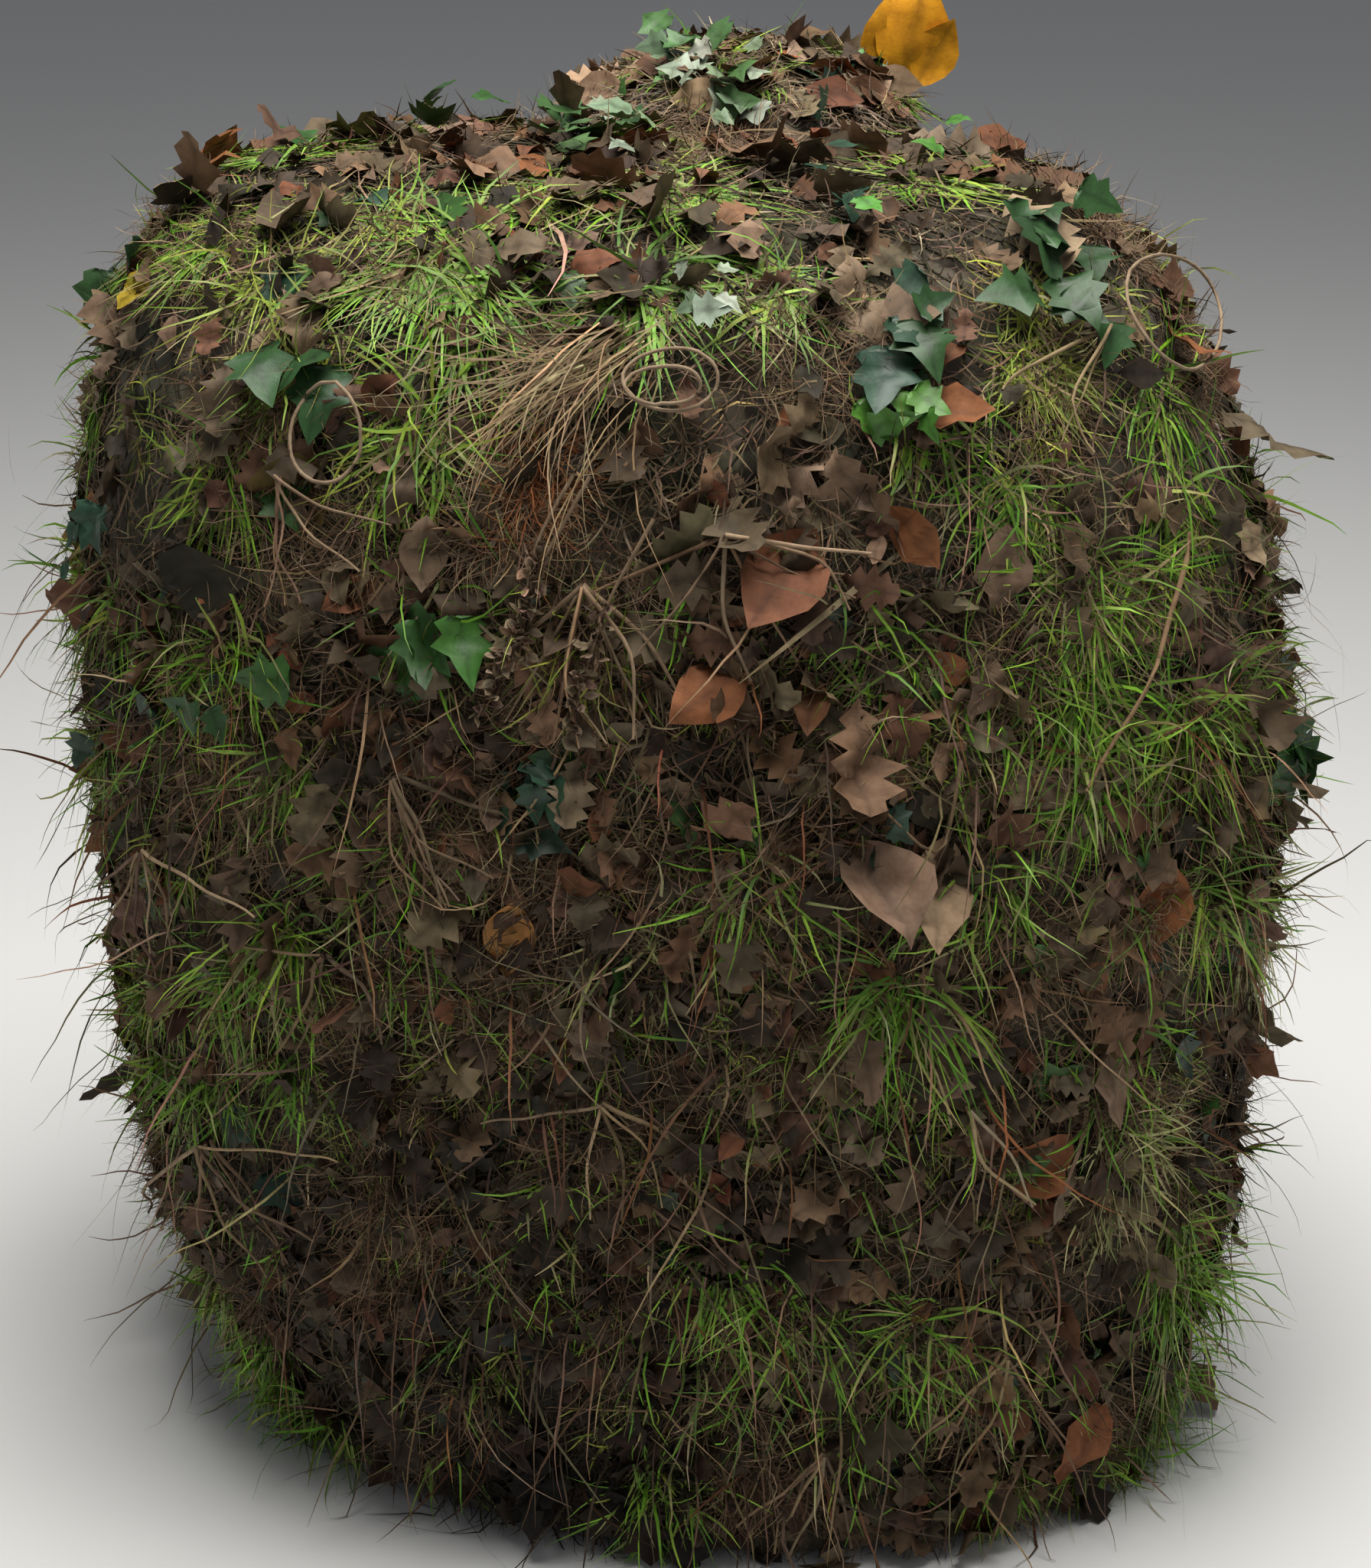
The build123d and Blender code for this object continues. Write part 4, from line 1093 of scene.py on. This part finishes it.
for x0, h0, x1, h1 in ((-0.085, 0.155, -0.125, 0.06), (-0.09, 0.165, -0.10, 0.09), (-0.045, 0.13, -0.07, 0.05)):
    stem(seed, ((x0 + 0.03, h0 + 0.05), (x0, h0), (x1, h1)), 0.0016, (0.20, 0.14, 0.09), off=0.026)
    for k in range(70):
        share = k / 70
        place, normal, _ = seen(x0 + (x1 - x0) * share + rng.normal() * 0.003, h0 + (h1 - h0) * share)
        aim = rng.normal(size=3) + normal
        leaves(seed, BEECH, (place + normal * 0.024)[None], unit(aim)[None], unit(rng.normal(size=(1, 3))),
               np.array([0.011]),
               palette([(0.24, 0.17, 0.12), (0.16, 0.11, 0.075)], 1), curl=0.3)
seed.build("seed_heads", FIBRE, "cape", "straw", "seed_head")
vine = Pile()
for x, h, wide, tall, off in ((-0.010, 0.257, 0.024, 0.011, 0.030), (0.315, 0.315, 0.034, 0.038, 0.028),
                              (-0.005, 0.262, 0.030, 0.018, 0.024),
                              (-0.22, 0.235, 0.022, 0.030, 0.020)):
    ring = []
    for k in range(40):
        a = 2 * math.pi * k / 40
        place, normal, _ = seen(x + math.cos(a) * wide, h + math.sin(a) * tall)
        ring.append(place + normal * (off + 0.004 * math.sin(2 * a)))
    tube_path(vine, ring, 0.0013, (0.30, 0.22, 0.15), closed=True)
vine.build("vine_tendrils", FIBRE, "cape", "straw", "vine_rings")

# loose runners that hang down the cape and stand off it
runners = Pile()
for area, count in (("back", 420), ("right", 300), ("left", 300), ("front", 110)):
    root, normal = seats(area, count)
    count = len(root)
    aim = normal * rng.uniform(0.15, 0.8,
                               (count, 1)) + rng.normal(size=(count, 3)) * 0.45 - np.array((0, 0, 0.6))
    # runner tones darkened by painted shade low on the back
    tone = palette(STRAW[1:] + BROWN[2:] + RUST[1:3] + TAN[1:], count, 0.35) * painted_shade(root)[:, None] ** 0.5
    strands(runners, root, aim, normal, rng.uniform(0.06, 0.15, count), rng.uniform(0.0010, 0.0024, count),
            tone, tone * 1.25,
            droop=1.0, curl=1.2, steps=8, keep_off=0.010)
runners.build("hanging_runners", FIBRE, "cape", "straw")
herbs = Pile()
for area, count in (("back", 55), ("right", 60), ("left", 60), ("front", 20)):
    root, normal = seats(area, count)
    tufts(herbs, root, normal, rng.integers(8, 26, len(root)), rng.uniform(0.03, 0.09, len(root)), 0.0018,
          GREEN[:3] + YELLOW_GREEN[2:],
          spread=0.030, droop=1.6, curl=1.5, rise=0.6)
herbs.build("thin_herbs", GRASS, "cape", "grass")

# garnish that rides on the flap, the arm covers and the hood
flap_grass, flap_leaves = Pile(), Pile()
root, normal = seats("flap", 11)
tufts(flap_grass, root, normal, rng.integers(40, 90, len(root)), 0.06, 0.0026, GREEN + YELLOW_GREEN[:1])
thatch(flap_grass, seats("flap", 3800), 0.036, 0.0012, BROWN + STRAW[2:], curl=1.8, flat=0.35)
litter(flap_leaves, OAK, seats("flap", 80), 0.055, BROWN + RUST + TAN[1:], curl=0.9)
litter(flap_leaves, BEECH, seats("flap", 80), 0.040, BROWN + TAN, curl=1.0)
flap_grass.build("flap_tufts", GRASS, "flap", "grass", "flap_grass")
flap_leaves.build("flap_leaf_litter", LEAF, "flap", "dead_leaf", "flap_leaves")
for side, bearing in ARM_BEARINGS.items():
    pile = Pile()
    t = rng.uniform(bearing - 4.5, bearing + 4.5, 420)
    r = rng.uniform(0.39, 0.61, 420)
    here, normal = on_cape(t, r)
    thatch(pile, (here + normal * 0.013, normal), 0.030, 0.0014, BROWN + STRAW[2:], flat=0.3)
    litter(pile, OAK, (here[:16] + normal[:16] * 0.013, normal[:16]), 0.042, BROWN + TAN[1:] + RUST[:1],
           curl=0.7)
    pile.build(f"{side}_garnish", LEAF, side, "dead_leaf")
root, normal = hood_seats(9)
tufts(hood_grass, root, normal, rng.integers(35, 80, len(root)), 0.055, 0.0025, GREEN, droop=0.8)
thatch(hood_grass, hood_seats(3200), 0.035, 0.0012, BROWN + STRAW[1:] + TAN[1:], curl=1.8, flat=0.4)
litter(hood_leaves, OAK, hood_seats(46), 0.052, BROWN + RUST + TAN, curl=0.8)
litter(hood_leaves, BEECH, hood_seats(46), 0.040, TAN + RUST, curl=0.9)
litter(hood_ivy, IVY_LEAF, hood_seats(16), 0.034, IVY_GREEN + PALE_IVY[2:], curl=0.3, lift=0.6)
hood_ivy.build("hood_ivy", IVY, "hood", "ivy")
hood_grass.build("hood_grass", GRASS, "hood", "grass", "hood_tufts")
hood_leaves.build("hood_leaf_litter", LEAF, "hood", "dead_leaf", "hood_leaves")
amber = Pile()
low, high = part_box("hood_yellow_leaf")
foot = np.array(((low.x + high.x) / 2, (low.y + high.y) / 2, low.z - 0.008))
for dx, size, lean, dz in ((0.0, 0.092, 0.22, 0.0), (-0.010, 0.078, 0.10, 0.0), (0.012, 0.060, 0.55, 0.002)):
    aim = unit(np.array([(lean, -0.25, 1.0)]))
    leaves(amber, BEECH, (foot + (dx, -0.004 * dx, dz))[None], aim, np.array([(0.1, -1.0, 0.1)]),
           np.array([size]),
           palette(AMBER, 1, 0.05), curl=0.5, broad=1.1)
amber.build("amber_leaf", LEAF, "hood", "yellow_leaf", "hood_yellow_leaf")

# ------------------------------------------------------------------ stage, light and camera
bpy.ops.mesh.primitive_plane_add(size=30)
floor = bpy.context.object
floor.name = "floor"
pale = bpy.data.materials.new("pale_floor")
pale.use_nodes = True
pale.node_tree.nodes["Principled BSDF"].inputs["Base Color"].default_value = (0.82, 0.82, 0.81, 1)
pale.node_tree.nodes["Principled BSDF"].inputs["Roughness"].default_value = 0.9
floor.data.materials.append(pale)


def lamp(name, place, size, energy, colour):
    """Soft square light aimed at the cape."""
    data = bpy.data.lights.new(name, "AREA")
    data.size, data.energy, data.color = size, energy, colour
    made = bpy.data.objects.new(name, data)
    made.location = place
    made.rotation_euler = (Vector((0, 0, 0.5)) - Vector(place)).to_track_quat("-Z", "Y").to_euler()
    bpy.context.scene.collection.objects.link(made)


lamp("sky", (0.1, -0.3, 3.2), 2.0, 128, (1.0, 0.98, 0.94))
lamp("window", (2.0, -2.8, 2.2), 2.0, 6, (1.0, 0.98, 0.95))
world = bpy.data.worlds.new("studio")
world.use_nodes = True
world.node_tree.nodes["Background"].inputs[0].default_value = (0.93, 0.95, 1.0, 1)
world.node_tree.nodes["Background"].inputs[1].default_value = 0.15
bpy.context.scene.world = world
bpy.context.scene.view_settings.view_transform = "Standard"

DISTANCE = 2.6
LENS_MM = 89.4
camera_data = bpy.data.cameras.new("camera")
camera_data.sensor_fit = "HORIZONTAL"
camera_data.sensor_width = 36
camera_data.lens = LENS_MM
camera = bpy.data.objects.new("camera", camera_data)
target = VIEW_MIDDLE + Vector((0.005, 0, 0.009))
camera.location = target - VIEW_AIM * DISTANCE
camera.rotation_euler = VIEW_AIM.to_track_quat("-Z", "Y").to_euler()
bpy.context.scene.collection.objects.link(camera)
bpy.context.scene.camera = camera
